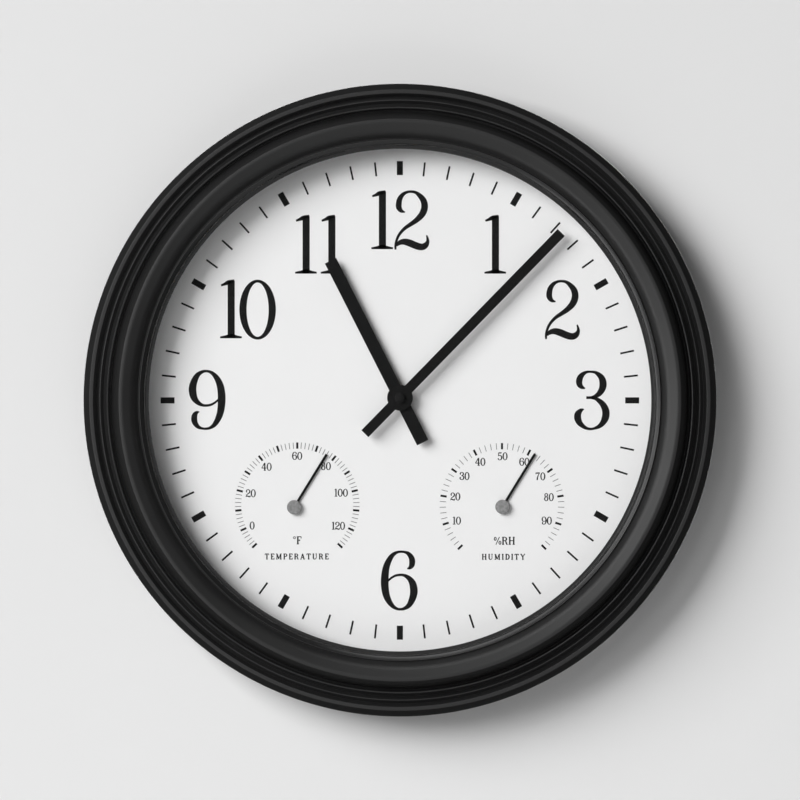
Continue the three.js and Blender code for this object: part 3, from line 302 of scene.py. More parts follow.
def lathe(name, profile, centre, sides=ROUND_SIDES):
    """A closed profile of radii and heights turned about the dial's axis through centre."""
    bm = bmesh.new()
    turn = [2 * math.pi * i / sides for i in range(sides)]
    rings = []
    for radius, height in profile:
        on_axis = radius == 0
        places = [(0, 0)] if on_axis else [(radius * math.cos(a), radius * math.sin(a)) for a in turn]
        rings.append([bm.verts.new(on_dial(x, z, height, centre)) for x, z in places])
    for low, high in zip(rings, rings[1:] + rings[:1]):
        if len(low) == 1 and len(high) == 1:
            continue
        for i in range(sides):
            j = (i + 1) % sides
            corners = [low[i % len(low)], low[j % len(low)], high[j % len(high)], high[i % len(high)]]
            bm.faces.new(list(dict.fromkeys(corners)))
    return mesh_from(bm, name)


def plate(name, outline, hole, back, front, centre, clockwise, rounding):
    """An outline with a hole on the dial's plane, given a thickness and softly rounded edges."""
    curve = bpy.data.curves.new(name, "CURVE")
    curve.dimensions = "2D"
    curve.fill_mode = "BOTH"
    curve.extrude = (front - back) / 2 - rounding
    curve.bevel_depth = rounding
    curve.bevel_resolution = PLATE_BEVEL_STEPS
    curve.offset = -rounding
    for loop in [outline, hole]:
        spline = curve.splines.new("POLY")
        spline.points.add(len(loop) - 1)
        for point, (x, z) in zip(spline.points, loop):
            point.co = (x, z, 0, 1)
        spline.use_cyclic_u = True
    drawn = bpy.data.objects.new(name, curve)
    mesh = bpy.data.meshes.new_from_object(drawn)
    bpy.data.objects.remove(drawn)
    bpy.data.curves.remove(curve)
    turn = Matrix.Rotation(math.radians(clockwise), 4, "Y")
    upright = Matrix.Rotation(math.pi / 2, 4, "X")
    place = Matrix.Translation(on_dial(0, 0, (back + front) / 2, centre))
    mesh.transform(place @ turn @ upright)
    mesh.shade_smooth()
    mesh.set_sharp_from_angle(angle=math.radians(PLATE_SHARP_ANGLE))
    return mesh


def bore(radius):
    """A circle that runs clockwise, as a hole does."""
    turn = [2 * math.pi * i / ROUND_SIDES for i in range(ROUND_SIDES)]
    return [(radius * math.cos(a), radius * math.sin(a)) for a in reversed(turn)]


# Materials

def node_material(name):
    material = bpy.data.materials.new(name)
    material.use_nodes = True
    tree = material.node_tree
    shader = tree.nodes["Principled BSDF"]
    return material, tree, shader


def noise(tree, scale, detail, stretch=None):
    """A noise over the object's own place, with features of about 1 / scale metres."""
    place = tree.nodes.new("ShaderNodeTexCoord")
    source = place.outputs["Object"]
    if stretch:
        mapping = tree.nodes.new("ShaderNodeMapping")
        mapping.inputs["Scale"].default_value = stretch
        tree.links.new(source, mapping.inputs["Vector"])
        source = mapping.outputs["Vector"]
    texture = tree.nodes.new("ShaderNodeTexNoise")
    texture.inputs["Scale"].default_value = scale
    texture.inputs["Detail"].default_value = detail
    tree.links.new(source, texture.inputs["Vector"])
    return texture.outputs["Fac"]


def ramp(tree, factor, stops):
    """A colour or grey picked by factor from (position, colour) stops."""
    node = tree.nodes.new("ShaderNodeValToRGB")
    elements = node.color_ramp.elements
    while len(elements) < len(stops):
        elements.new(0.5)
    for element, (position, colour) in zip(elements, stops):
        element.position = position
        element.color = (*colour, 1) if isinstance(colour, tuple) else (colour, colour, colour, 1)
    tree.links.new(factor, node.inputs["Fac"])
    return node.outputs["Color"]


def drift(tree, patches, low, high):
    """From low to high over the patches of a noise."""
    return ramp(tree, patches, [(PATCH_EDGES[0], low), (PATCH_EDGES[1], high)])


def bump(tree, shader, factor, strength, depth):
    """Fine relief of a depth in metres, drawn by factor."""
    node = tree.nodes.new("ShaderNodeBump")
    node.inputs["Strength"].default_value = strength
    node.inputs["Distance"].default_value = depth
    tree.links.new(factor, node.inputs["Height"])
    tree.links.new(node.outputs["Normal"], shader.inputs["Normal"])


def shades(colour, spread):
    """The colour made darker and lighter by a share."""
    return tuple(c * (1 - spread) for c in colour), tuple(c * (1 + spread) for c in colour)


def surface(name, colour, roughness, metallic=0.0, specular=0.5, spread=0.12, patch=60, grain=2500,
            grain_depth=0.02, roughness_spread=0.05, stretch=None):
    """A material whose colour and gloss drift over patches, with a fine grain; grain_depth in millimetres."""
    material, tree, shader = node_material(name)
    shader.inputs["Metallic"].default_value = metallic
    shader.inputs["Specular IOR Level"].default_value = specular
    patches = noise(tree, patch, PATCH_DETAIL)
    tree.links.new(drift(tree, patches, *shades(colour, spread)), shader.inputs["Base Color"])
    gloss = drift(tree, patches, roughness - roughness_spread, roughness + roughness_spread)
    tree.links.new(gloss, shader.inputs["Roughness"])
    bump(tree, shader, noise(tree, grain, GRAIN_DETAIL, stretch), GRAIN_STRENGTH, grain_depth * MM)
    return material


def glass(name):
    """A thin clear pane: what isn't mirrored by its faces goes straight through."""
    material, tree, shader = node_material(name)
    tree.nodes.remove(shader)
    mirror = tree.nodes.new("ShaderNodeBsdfGlossy")
    mirror.inputs["Roughness"].default_value = GLASS_ROUGHNESS
    clear = tree.nodes.new("ShaderNodeBsdfTransparent")
    fresnel = tree.nodes.new("ShaderNodeFresnel")
    fresnel.inputs["IOR"].default_value = GLASS_IOR
    geometry = tree.nodes.new("ShaderNodeNewGeometry")
    entering = tree.nodes.new("ShaderNodeMath")
    entering.operation = "SUBTRACT"
    entering.use_clamp = True
    mix = tree.nodes.new("ShaderNodeMixShader")
    tree.links.new(fresnel.outputs["Fac"], entering.inputs[0])
    tree.links.new(geometry.outputs["Backfacing"], entering.inputs[1])
    tree.links.new(entering.outputs["Value"], mix.inputs["Fac"])
    tree.links.new(clear.outputs["BSDF"], mix.inputs[1])
    tree.links.new(mirror.outputs["BSDF"], mix.inputs[2])
    tree.links.new(mix.outputs["Shader"], tree.nodes["Material Output"].inputs["Surface"])
    return material


def winding(name):
    """Enamelled wire laid turn by turn along the bobbin."""
    material, tree, shader = node_material(name)
    place = tree.nodes.new("ShaderNodeTexCoord")
    wave = tree.nodes.new("ShaderNodeTexWave")
    wave.bands_direction = "X"
    wave.inputs["Scale"].default_value = 900
    wave.inputs["Distortion"].default_value = 0.4
    tree.links.new(place.outputs["Object"], wave.inputs["Vector"])
    stops = [(0.0, (0.16, 0.045, 0.015)), (1.0, (0.55, 0.2, 0.08))]
    tree.links.new(ramp(tree, wave.outputs["Fac"], stops), shader.inputs["Base Color"])
    shader.inputs["Metallic"].default_value = 0.9
    shader.inputs["Roughness"].default_value = 0.35
    bump(tree, shader, wave.outputs["Fac"], 1.0, 0.05 * MM)
    return material


def cell_jacket(name):
    """A printed jacket with a bright band at the positive end and steel ends."""
    material, tree, shader = node_material(name)
    low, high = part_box("cell")
    place = tree.nodes.new("ShaderNodeTexCoord")
    split = tree.nodes.new("ShaderNodeSeparateXYZ")
    tree.links.new(place.outputs["Object"], split.inputs["Vector"])
    along = tree.nodes.new("ShaderNodeMapRange")
    along.inputs["From Min"].default_value = low.x
    along.inputs["From Max"].default_value = high.x
    tree.links.new(split.outputs["X"], along.inputs["Value"])
    steel, blue, silver = (0.6, 0.6, 0.58), (0.02, 0.07, 0.2), (0.62, 0.6, 0.52)
    colours = [(0.0, steel), (0.015, steel), (0.02, blue), (0.7, blue), (0.705, silver), (0.965, silver),
               (0.97, steel)]
    metals = [(0.0, 1.0), (0.015, 1.0), (0.02, 0.2), (0.965, 0.3), (0.97, 1.0)]
    tree.links.new(ramp(tree, along.outputs["Result"], colours), shader.inputs["Base Color"])
    tree.links.new(ramp(tree, along.outputs["Result"], metals), shader.inputs["Metallic"])
    shader.inputs["Roughness"].default_value = 0.28
    bump(tree, shader, noise(tree, 900, GRAIN_DETAIL), 0.3, 0.01 * MM)
    return material


def bezel_plastic(name):
    """Satin black plastic. The bead and the lip round the glass come out of the mould glossier."""
    material = surface(name, (0.0115, 0.0115, 0.0116), 0.4, specular=1.0, spread=0.1, patch=25,
                       grain=3500, grain_depth=0.006, roughness_spread=0.02)
    tree = material.node_tree
    shader = tree.nodes["Principled BSDF"]
    place = tree.nodes.new("ShaderNodeTexCoord")
    from_axis = tree.nodes.new("ShaderNodeVectorMath")
    from_axis.operation = "SUBTRACT"
    from_axis.inputs[1].default_value = CASE_CENTRE
    on_plane = tree.nodes.new("ShaderNodeVectorMath")
    on_plane.operation = "MULTIPLY"
    on_plane.inputs[1].default_value = (1, 0, 1)
    radius = tree.nodes.new("ShaderNodeVectorMath")
    radius.operation = "LENGTH"
    across = tree.nodes.new("ShaderNodeMapRange")
    across.inputs["From Min"].default_value = CASE_RADIUS
    across.inputs["From Max"].default_value = OPENING_RADIUS
    tree.links.new(place.outputs["Object"], from_axis.inputs[0])
    tree.links.new(from_axis.outputs["Vector"], on_plane.inputs[0])
    tree.links.new(on_plane.outputs["Vector"], radius.inputs[0])
    tree.links.new(radius.outputs["Value"], across.inputs["Value"])
    satin, glossy = 0.0, 1.0
    stops = [(BEAD_START_SHARE - BEAD_BLEND_SHARE, satin), (BEAD_START_SHARE, glossy)]
    polish = ramp(tree, across.outputs["Result"], stops)
    mix = tree.nodes.new("ShaderNodeMix")
    mix.inputs["B"].default_value = BEAD_ROUGHNESS
    tree.links.new(polish, mix.inputs["Factor"])
    tree.links.new(shader.inputs["Roughness"].links[0].from_socket, mix.inputs["A"])
    tree.links.new(mix.outputs["Result"], shader.inputs["Roughness"])
    return material


MATERIALS = {
    "bezel_plastic": bezel_plastic("bezel_plastic"),
    "cover_plastic": surface("cover_plastic", (0.022, 0.022, 0.023), 0.55, spread=0.05, patch=40, grain=1500,
                             grain_depth=0.06, roughness_spread=0.02),
    "movement_plastic": surface("movement_plastic", (0.018, 0.018, 0.019), 0.5, grain=2200, grain_depth=0.03),
    "rubber": surface("rubber", (0.02, 0.02, 0.02), 0.85, spread=0.2, grain=1800, grain_depth=0.05),
    "lens_glass": glass("lens_glass"),
    "dial_print": surface("dial_print", (0.89, 0.89, 0.89), 0.6, specular=0.2, spread=0.006, patch=30,
                          grain=2600, grain_depth=0.004),
    "ink": surface("ink", (0.0115, 0.0115, 0.0115), 0.6, specular=0.08, spread=0.2, patch=300, grain=4000,
                   grain_depth=0.004),
    "grey_ink": surface("grey_ink", (0.16, 0.16, 0.16), 0.55, specular=0.2, spread=0.15, patch=300,
                        grain=4000, grain_depth=0.004),
    "hand_paint": surface("hand_paint", (0.0085, 0.0085, 0.0085), 0.55, specular=0.12, spread=0.15, patch=150,
                          grain=3000, grain_depth=0.008),
    "nut_paint": surface("nut_paint", (0.0085, 0.0085, 0.0085), 0.3, specular=0.2, spread=0.15, patch=300,
                         grain=3000, grain_depth=0.004),
    "hub_grey": surface("hub_grey", (0.25, 0.25, 0.25), 0.5, spread=0.32, patch=500, grain=2600,
                        grain_depth=0.03),
    "zinc_steel": surface("zinc_steel", (0.5, 0.51, 0.52), 0.34, metallic=1.0, spread=0.12, patch=180,
                          grain=1200, grain_depth=0.015, roughness_spread=0.08),
    "brass": surface("brass", (0.62, 0.43, 0.16), 0.3, metallic=1.0, spread=0.08, patch=200, grain=2500,
                     grain_depth=0.01),
    "nylon_white": surface("nylon_white", (0.72, 0.69, 0.61), 0.45, spread=0.04, patch=200),
    "nylon_red": surface("nylon_red", (0.42, 0.04, 0.03), 0.4, spread=0.08, patch=250),
    "magnet": surface("magnet", (0.1, 0.1, 0.11), 0.4, metallic=0.8, spread=0.15, patch=300),
    "copper": winding("copper"),
    "circuit_green": surface("circuit_green", (0.02, 0.12, 0.04), 0.35, spread=0.25, patch=700),
    "bimetal": surface("bimetal", (0.45, 0.31, 0.15), 0.35, metallic=1.0, spread=0.1, stretch=(1, 8, 1)),
    "cell_jacket": cell_jacket("cell_jacket"),
}


def paint(piece, slot):
    """The piece in one of the materials alone."""
    piece.data.materials.clear()
    piece.data.materials.append(MATERIALS[slot])


# CAD nodes that stay: soft shading across their small facets, and their materials

def smooth_by_angle():
    """A modifier tree that shades faces smoothly and leaves edges over the sharp angle sharp."""
    tree = bpy.data.node_groups.new("smooth_by_angle", "GeometryNodeTree")
    tree.interface.new_socket("Geometry", in_out="INPUT", socket_type="NodeSocketGeometry")
    tree.interface.new_socket("Geometry", in_out="OUTPUT", socket_type="NodeSocketGeometry")
    source = tree.nodes.new("NodeGroupInput")
    result = tree.nodes.new("NodeGroupOutput")
    faces = tree.nodes.new("GeometryNodeSetShadeSmooth")
    edges = tree.nodes.new("GeometryNodeSetShadeSmooth")
    edges.domain = "EDGE"
    angle = tree.nodes.new("GeometryNodeInputMeshEdgeAngle")
    gentle = tree.nodes.new("FunctionNodeCompare")
    gentle.operation = "LESS_THAN"
    gentle.inputs["B"].default_value = math.radians(SHARP_ANGLE)
    tree.links.new(source.outputs["Geometry"], faces.inputs["Geometry"])
    tree.links.new(faces.outputs["Geometry"], edges.inputs["Geometry"])
    tree.links.new(angle.outputs["Unsigned Angle"], gentle.inputs["A"])
    tree.links.new(gentle.outputs["Result"], edges.inputs["Shade Smooth"])
    tree.links.new(edges.outputs["Geometry"], result.inputs["Geometry"])
    return tree


def dress_frame():
    """Every CAD node in its slot's material, with soft shading."""
    smoothing = smooth_by_angle()
    for part in frame["record"]["subparts"]:
        node = frame["nodes"][part["node"]]
        paint(node, part["material_slot"])
        node.modifiers.new("smooth", "NODES").node_group = smoothing


# Case

def bezel():
    """The turned moulding: skirt, steps, crest, bead and lip in front, hollow behind, and its inner wall."""

    def moulding(across, up, rounding=0.0):
        return (CASE_RADIUS - across * MOULDING_WIDTH, EDGE_HEIGHT + up * MOULDING_RISE, rounding * MM)

    lip_front = CASE_FRONT - LIP_RECESS
    lip_back = lip_front - LIP_THICKNESS
    seat_radius = OPENING_RADIUS + SEAT_RADIUS_GAIN
    inner_end = DIAL_BACK - INNER_WALL_BELOW_DIAL
    lip_start = moulding(LIP_START_SHARE, 0)[0]
    corners = [
        (CASE_RADIUS, SKIRT_BACK, SKIRT_FILLET),
        *[moulding(*corner) for corner in MOULDING],
        (lip_start, lip_front, LIP_ROUNDING),
        (OPENING_RADIUS - LIP_OVERHANG, lip_front, LIP_EDGE_ROUNDING),
        (OPENING_RADIUS - LIP_OVERHANG, lip_back, INNER_ROUNDING),
        (seat_radius, lip_back, INNER_ROUNDING),
        (seat_radius, inner_end, INNER_ROUNDING),
        (seat_radius + SKIRT_WALL, inner_end, INNER_ROUNDING),
        *[moulding(*corner) for corner in UNDERSIDE],
        (CASE_RADIUS - SKIRT_WALL, EDGE_HEIGHT - SKIRT_WALL, UNDERSIDE_FILLET),
        (CASE_RADIUS - SKIRT_WALL, SKIRT_BACK, SKIRT_FILLET),
    ]
    mesh = lathe("bezel_moulding", rounded(corners), CASE_CENTRE, RING_SIDES)
    paint(add_object("bezel_moulding", mesh, "case", ["bezel"]), "bezel_plastic")


# Print

# Pen strokes of the numerals: (x, y, width) along the middle line, in hundredths of the height
STROKES = {
    "2": [
        [(18.0, 63.3, 0.8), (11.5, 65.6, 5.8), (7.5, 71.4, 8.8), (7.3, 78.3, 9.0), (9.1, 86.0, 8.0),
         (13.8, 92.9, 6.0), (20.7, 97.1, 4.0), (28.4, 98.1, 3.6), (36.5, 96.3, 4.8), (44.1, 89.9, 7.8),
         (49.1, 82.9, 9.7), (51.0, 74.4, 10.6), (49.7, 66.0, 10.7), (45.3, 57.9, 9.9), (36.8, 49.5, 7.9),
         (27.2, 42.8, 6.3), (18.0, 36.5, 5.1), (11.1, 29.5, 4.2), (5.8, 21.5, 3.7), (2.8, 13.0, 3.4),
         (1.7, 6.1, 3.1), (1.7, 0.0, 2.3)],
        [(3.1, 6.5, 3.0), (6.9, 10.4, 6.1), (11.5, 12.7, 8.1), (17.7, 13.2, 10.0), (25.7, 11.1, 11.3),
         (34.5, 7.4, 11.2), (42.2, 4.9, 10.9), (48.4, 4.9, 10.2), (53.3, 8.1, 8.6), (56.2, 13.4, 5.2),
         (56.0, 18.4, 3.5), (54.3, 24.4, 1.4)],
    ],
    "3": [
        [(18.5, 70.0, 0.8), (13.1, 72.0, 5.8), (9.2, 76.3, 8.9), (8.2, 82.1, 10.0), (10.1, 88.7, 9.2),
         (14.6, 94.2, 6.6), (20.9, 97.7, 3.9), (27.9, 98.2, 3.1), (35.6, 97.0, 4.5), (42.6, 92.2, 7.8),
         (46.9, 86.4, 10.1), (48.6, 78.6, 11.5), (47.7, 70.8, 10.9), (44.2, 63.8, 9.3), (39.5, 59.1, 7.4),
         (33.3, 55.9, 4.7), (27.1, 54.5, 3.9), (20.2, 54.3, 3.9)],
        [(28.6, 54.1, 3.5), (35.6, 52.8, 4.7), (42.6, 48.6, 7.4), (48.9, 42.0, 9.7), (52.6, 34.2, 11.3),
         (53.5, 27.2, 11.7), (52.2, 19.5, 11.3), (48.1, 11.7, 8.9), (41.9, 5.8, 6.2), (34.9, 2.7, 4.0),
         (28.6, 1.4, 3.4), (21.6, 2.3, 4.4), (14.6, 6.2, 6.6), (8.8, 12.1, 9.3), (5.8, 19.5, 11.1),
         (6.2, 26.5, 10.5), (9.6, 31.5, 7.4), (13.1, 33.9, 4.2), (16.6, 34.6, 0.6)],
    ],
    "6": [
        [(44.1, 69.9, 0.6), (48.5, 71.2, 4.9), (51.9, 75.4, 8.3), (52.9, 81.8, 9.5), (51.5, 88.6, 8.5),
         (46.6, 95.1, 6.1), (40.2, 98.0, 3.6), (33.3, 98.6, 3.3), (26.5, 97.3, 4.1), (18.9, 92.0, 6.8),
         (12.9, 82.6, 9.1), (8.9, 72.0, 10.6), (7.0, 60.6, 11.7), (6.4, 49.2, 12.3), (6.8, 37.9, 12.0),
         (8.9, 25.8, 11.0), (13.3, 15.2, 9.1), (19.7, 6.8, 6.4), (26.5, 2.3, 4.2), (32.6, 1.2, 3.5),
         (39.4, 2.4, 4.7), (47.0, 7.6, 7.6), (52.3, 16.7, 10.2), (55.2, 26.5, 11.7), (55.6, 34.8, 12.1),
         (53.6, 44.7, 11.0), (49.2, 51.9, 8.3), (43.2, 56.8, 5.7), (37.1, 59.1, 3.9), (31.8, 59.3, 3.5),
         (25.0, 58.2, 3.2), (18.2, 54.7, 2.9), (12.1, 49.6, 2.6)],
    ],
}
STROKES["9"] = [[(61.7 - x, 99.5 - y, width) for x, y, width in STROKES["6"][0]]]
# Ovals with a hole: centre, half sizes of the outer edge and of the hole
RINGS = {
    "0": [(30.5, 49.2, 30.5, 50.3, 19.1, 46.3)],
    "8": [(29.0, 75.0, 21.0, 25.0, 12.0, 21.5), (29.0, 27.0, 26.0, 28.0, 15.0, 24.0)],
    "°": [(17.0, 84.0, 15.5, 15.5, 11.5, 11.5)],
    "%": [(17.0, 76.0, 16.0, 23.0, 8.5, 19.0), (79.0, 24.0, 16.0, 23.0, 8.5, 19.0)],
}
STEM = 14.0
HAIRLINE = 5.5


def stem(x, low=0.0, high=100.0, width=STEM):
    """An upright stroke."""
    return [(x, low, width), (x, high, width)]


def bar(x0, x1, y):
    """A level hairline."""
    return [(x0, y, HAIRLINE), (x1, y, HAIRLINE)]


def footed(x, *heights):
    """A full stem with serifs at the given heights."""
    return [stem(x), *[bar(x - STEM, x + STEM, y) for y in heights]]


# Heights of the serifs at a letter's foot and head
FOOT, HEAD = 2.5, 97.5
STROKES.update({
    "1": [stem(19.1, 1.5, 97.5, 11.2),
          [(1.9, 90.2, 2.4), (8.4, 92.6, 4.4), (14.5, 95.4, 6.4), (24.6, 98.5, 3.0)],
          [(0.4, 2.3, 2.2), (9.6, 3.2, 4.2), (19.1, 4.4, 6.6), (28.4, 3.2, 4.2), (37.0, 2.3, 2.2)]],
    "4": [[(40, 99, 5), (3, 33, 5)], bar(1, 62, 32), stem(42, 0, 100, 12), bar(29, 56, FOOT)],
    "5": [[(10, 94, 6), (30, 93, 11), (50, 96, 8)], stem(10, 50, 97, 5),
          [(10, 52, 4), (26, 61, 5), (42, 56, 9), (51, 38, 12), (49, 18, 11), (38, 5, 7), (25, 1.5, 4),
           (12, 6, 7), (6, 17, 10), (9, 25, 5)]],
    "7": [[(5, 92, 8), (28, 93, 12), (55, 95, 7)], stem(5, 76, 99, 4),
          [(54, 94, 4), (38, 68, 6), (28, 42, 9), (23, 18, 12), (23, 0, 12)]],
    "A": [[(12, 0, HAIRLINE), (40, 99, HAIRLINE)], [(40, 99, STEM), (68, 0, STEM)], bar(20, 56, 33),
          bar(0, 24, FOOT), bar(54, 84, FOOT)],
    "D": [*footed(18, FOOT, HEAD),
          [(12, 97, 5), (38, 96, 6), (59, 84, 11), (70, 50, 14), (59, 16, 11), (38, 4, 6), (12, 3, 5)]],
    "E": [stem(18), bar(4, 62, HEAD), bar(18, 44, 51), bar(4, 64, FOOT), stem(61, 76, 100, 5),
          stem(63, 0, 25, 5), stem(43, 40, 62, 4)],
    "F": [stem(18), bar(4, 62, HEAD), bar(18, 44, 50), bar(4, 34, FOOT), stem(61, 74, 100, 5),
          stem(43, 39, 61, 4)],
    "H": [*footed(18, FOOT, HEAD), *footed(70, FOOT, HEAD), bar(18, 70, 51)],
    "I": footed(18, FOOT, HEAD),
    "M": [stem(16, width=HAIRLINE), [(16, 98, STEM), (50, 6, STEM)], [(50, 6, HAIRLINE), (84, 98, HAIRLINE)],
          stem(86), bar(3, 29, FOOT), bar(70, 102, FOOT), bar(3, 16, HEAD), bar(86, 102, HEAD)],
    "P": [*footed(18, FOOT, HEAD),
          [(18, 97, 5), (40, 97, 5), (56, 89, 10), (62, 73, 14), (56, 57, 10), (40, 49, 5), (18, 49, 5)]],
    "R": [*footed(18, FOOT, HEAD),
          [(18, 97, 5), (40, 97, 5), (56, 89, 10), (62, 73, 14), (56, 58, 10), (40, 51, 5), (18, 51, 5)],
          [(38, 50, 4), (52, 44, 8), (59, 26, 13), (64, 9, 11), (73, 2, 5), (80, 6, 3)]],
    "T": [stem(37), bar(3, 71, HEAD), bar(23, 51, FOOT), stem(5, 76, 100, 5), stem(69, 76, 100, 5)],
    "U": [bar(4, 32, HEAD), bar(58, 82, HEAD),
          [(18, 98, STEM), (18, 62, STEM), (18, 30, STEM), (25, 10, 11), (42, 3, 6), (60, 10, 5), (70, 30, 5),
           (70, 62, 5), (70, 98, 5)]],
    "Y": [[(14, 98, STEM), (44, 46, STEM)], [(74, 98, HAIRLINE), (44, 46, HAIRLINE)], stem(44, 0, 50),
          bar(0, 30, HEAD), bar(62, 88, HEAD), bar(30, 58, FOOT)],
    "%": [[(26, 0, HAIRLINE), (72, 100, HAIRLINE)]],
})
# How far each glyph reaches to the right, in hundredths of the height
WIDTHS = {
    "0": 61.0, "1": 37.0, "2": 58.2, "3": 59.3, "4": 62.0, "5": 58.0, "6": 61.7, "7": 58.0, "8": 58.0,
    "9": 61.7,
    "A": 84.0, "D": 77.0, "E": 66.0, "F": 64.0, "H": 84.0, "I": 32.0, "M": 102.0, "P": 69.0, "R": 81.0,
    "T": 74.0, "U": 84.0, "Y": 88.0, "%": 95.0, "°": 36.0,
}


def spline(points, i, t):
    """The point at share t between points i and i + 1 of a Catmull-Rom curve."""
    ends = [points[max(i - 1, 0)], points[i], points[i + 1], points[min(i + 2, len(points) - 1)]]
    p0, p1, p2, p3 = (Vector(p) for p in ends)
    return 0.5 * ((2 * p1) + (p2 - p0) * t + (2 * p0 - 5 * p1 + 4 * p2 - p3) * t ** 2
                  + (3 * p1 - p0 - 3 * p2 + p3) * t ** 3)


def stroke_strip(points, weight):
    """Pairs of points on the two edges of a pen stroke, made wider by weight."""
    samples = [spline(points, i, step / STROKE_STEPS)
               for i in range(len(points) - 1) for step in range(STROKE_STEPS)]
    samples.append(Vector(points[-1]))
    pairs = []
    for i, sample in enumerate(samples):
        along = (samples[min(i + 1, len(samples) - 1)] - samples[max(i - 1, 0)]).xy.normalized()
        side = Vector((-along.y, along.x)) * (sample.z + weight) / 2
        pairs.append((sample.xy + side, sample.xy - side))
    return pairs


def ink_strip(bm, pairs, place):
    """A strip of faces between pairs of points, each put on the dial by place."""
    rows = [(bm.verts.new(place(a)), bm.verts.new(place(b))) for a, b in pairs]
    for (a, b), (c, d) in zip(rows, rows[1:]):
        bm.faces.new([a, b, d, c])


def ink_ring(bm, ring, place, weight):
    middle = Vector(ring[:2])
    spread = Vector((weight, weight)) / 2
    outer, inner = Vector(ring[2:4]) + spread, Vector(ring[4:]) - spread
    pairs = []
    for i in range(ROUND_SIDES + 1):
        turn = 2 * math.pi * i / ROUND_SIDES
        way = Vector((math.cos(turn), math.sin(turn)))
        pairs.append((middle + way * outer, middle + way * inner))
    ink_strip(bm, pairs, place)


def ink_glyph(bm, glyph, place, weight):
    for ring in RINGS.get(glyph, []):
        ink_ring(bm, ring, place, weight)
    for points in STROKES.get(glyph, []):
        ink_strip(bm, stroke_strip(points, weight), place)


def ink_mesh(bm, name):
    """Flat print that faces the reader."""
    mesh = bpy.data.meshes.new(name)
    bm.normal_update()
    bmesh.ops.triangulate(bm, faces=bm.faces)
    for face in bm.faces:
        face.normal_update()
        if face.normal.y > 0:
            face.normal_flip()
    bm.to_mesh(mesh)
    bm.free()
    return mesh


def numeral(text, x, z):
    scale = NUMERAL_HEIGHT / 100
    starts = [0.0]
    if len(text) > 1:
        starts.append(ADVANCE_AFTER_ONE[text[1]])
    width = starts[-1] + WIDTHS[text[-1]]
    bm = bmesh.new()
    for digit, start in zip(text, starts):
        def place(point, start=start):
            return on_dial(x * MM + (start + point.x - width / 2) * scale, z * MM + (point.y - 50) * scale,
                           DIAL_FRONT + INK_LIFT)
        ink_glyph(bm, digit, place, NUMERAL_WEIGHT)
    name = f"numeral_{text}"
    paint(add_object(name, ink_mesh(bm, name), "case"), "ink")


def tick(bm, angle, inner, outer, width, centre):
    """A bar along a radius at a clockwise angle from the top."""
    turn = math.radians(angle)
    outward = Vector((math.sin(turn), math.cos(turn)))
    side = Vector((outward.y, -outward.x)) * width / 2
    corners = [outward * inner - side, outward * inner + side, outward * outer + side, outward * outer - side]
    bm.faces.new([bm.verts.new(on_dial(centre[0] + corner.x, centre[1] + corner.y, DIAL_FRONT + INK_LIFT))
                  for corner in corners])


def minute_track():
    bm = bmesh.new()
    for minute in range(60):
        width = MINUTE_TICK_WIDTH if minute % 5 else HOUR_TICK_WIDTH
        tick(bm, minute * 6, TRACK_INNER, TRACK_OUTER, width, TRACK_CENTRE)
    paint(add_object("minute_track", ink_mesh(bm, "minute_track"), "case"), "ink")


def words(bm, text, middle, height, weight, width=None):
    """Small lettering of a given height, centred at middle, spaced out to a width if one is given."""
    scale = height / 100
    natural = sum(WIDTHS[glyph] for glyph in text)
    gap = (width / scale - natural) / (len(text) - 1) if width else LABEL_GAP
    x = -(natural + gap * (len(text) - 1)) / 2
    for glyph in text:
        def place(point, start=x):
            return on_dial(middle[0] + (start + point.x) * scale, middle[1] + (point.y - 50) * scale,
                           DIAL_FRONT + INK_LIFT)
        ink_glyph(bm, glyph, place, weight)
        x += WIDTHS[glyph] + gap


def gauge_print(name):
    """A gauge's ticks, labels, unit and word."""
    centre = GAUGE_CENTRES[name]
    lowest, highest, major, minor, sweep = SCALES[name]
    black = bmesh.new()
    grey = bmesh.new()
    for value in range(lowest, highest + 1, minor):
        angle = (value - lowest) / (highest - lowest) * sweep - sweep / 2
        if (value - lowest) % major == 0:
            tick(black, angle, SCALE_INNER, SCALE_OUTER, MAJOR_TICK_WIDTH, centre)
        else:
            tick(grey, angle, SCALE_INNER, SCALE_OUTER, MINOR_TICK_WIDTH, centre)
    for text, (x, z) in GAUGE_LABELS[name].items():
        words(black, text, (centre[0] + x * MM, centre[1] + z * MM), LABEL_HEIGHT, LABEL_WEIGHT)
    text, x, z, width = GAUGE_WORDS[name]
    words(black, text, (centre[0] + x * MM, centre[1] + z * MM), WORD_HEIGHT, WORD_WEIGHT, width * MM)
    paint(add_object(f"{name}_scale", ink_mesh(black, f"{name}_scale"), "case"), "ink")
    paint(add_object(f"{name}_fine_ticks", ink_mesh(grey, f"{name}_fine_ticks"), "case"), "grey_ink")


# Hands and pointers

def baton(half_width, reach, tail, hub_radius):
    """The outline of a straight hand with a round hub."""
    shoulder = math.sqrt(max(hub_radius ** 2 - half_width ** 2, 0))
    first = math.acos(half_width / hub_radius)
    arc = [first - 2 * first * i / ROUND_SIDES for i in range(ROUND_SIDES + 1)]
    right = [(hub_radius * math.cos(a), hub_radius * math.sin(a)) for a in arc]
    left = [(-x, -z) for x, z in right]
    outline = [(-half_width, reach), (half_width, reach), *right]
    if tail > shoulder:
        outline += [(half_width, -tail), (-half_width, -tail)]
    return outline + left


def hand(node, body, angle, reach, tail, width, hub, bore_radius, centre, rounding):
    """A blade in the node's place, turned clockwise from the top."""
    name = f"{node}_blade"
    mesh = plate(name, baton(width / 2, reach, tail, hub), bore(bore_radius), back_of(node), front_of(node),
                 centre, angle, rounding)
    paint(add_object(name, mesh, body, [node]), "hand_paint")


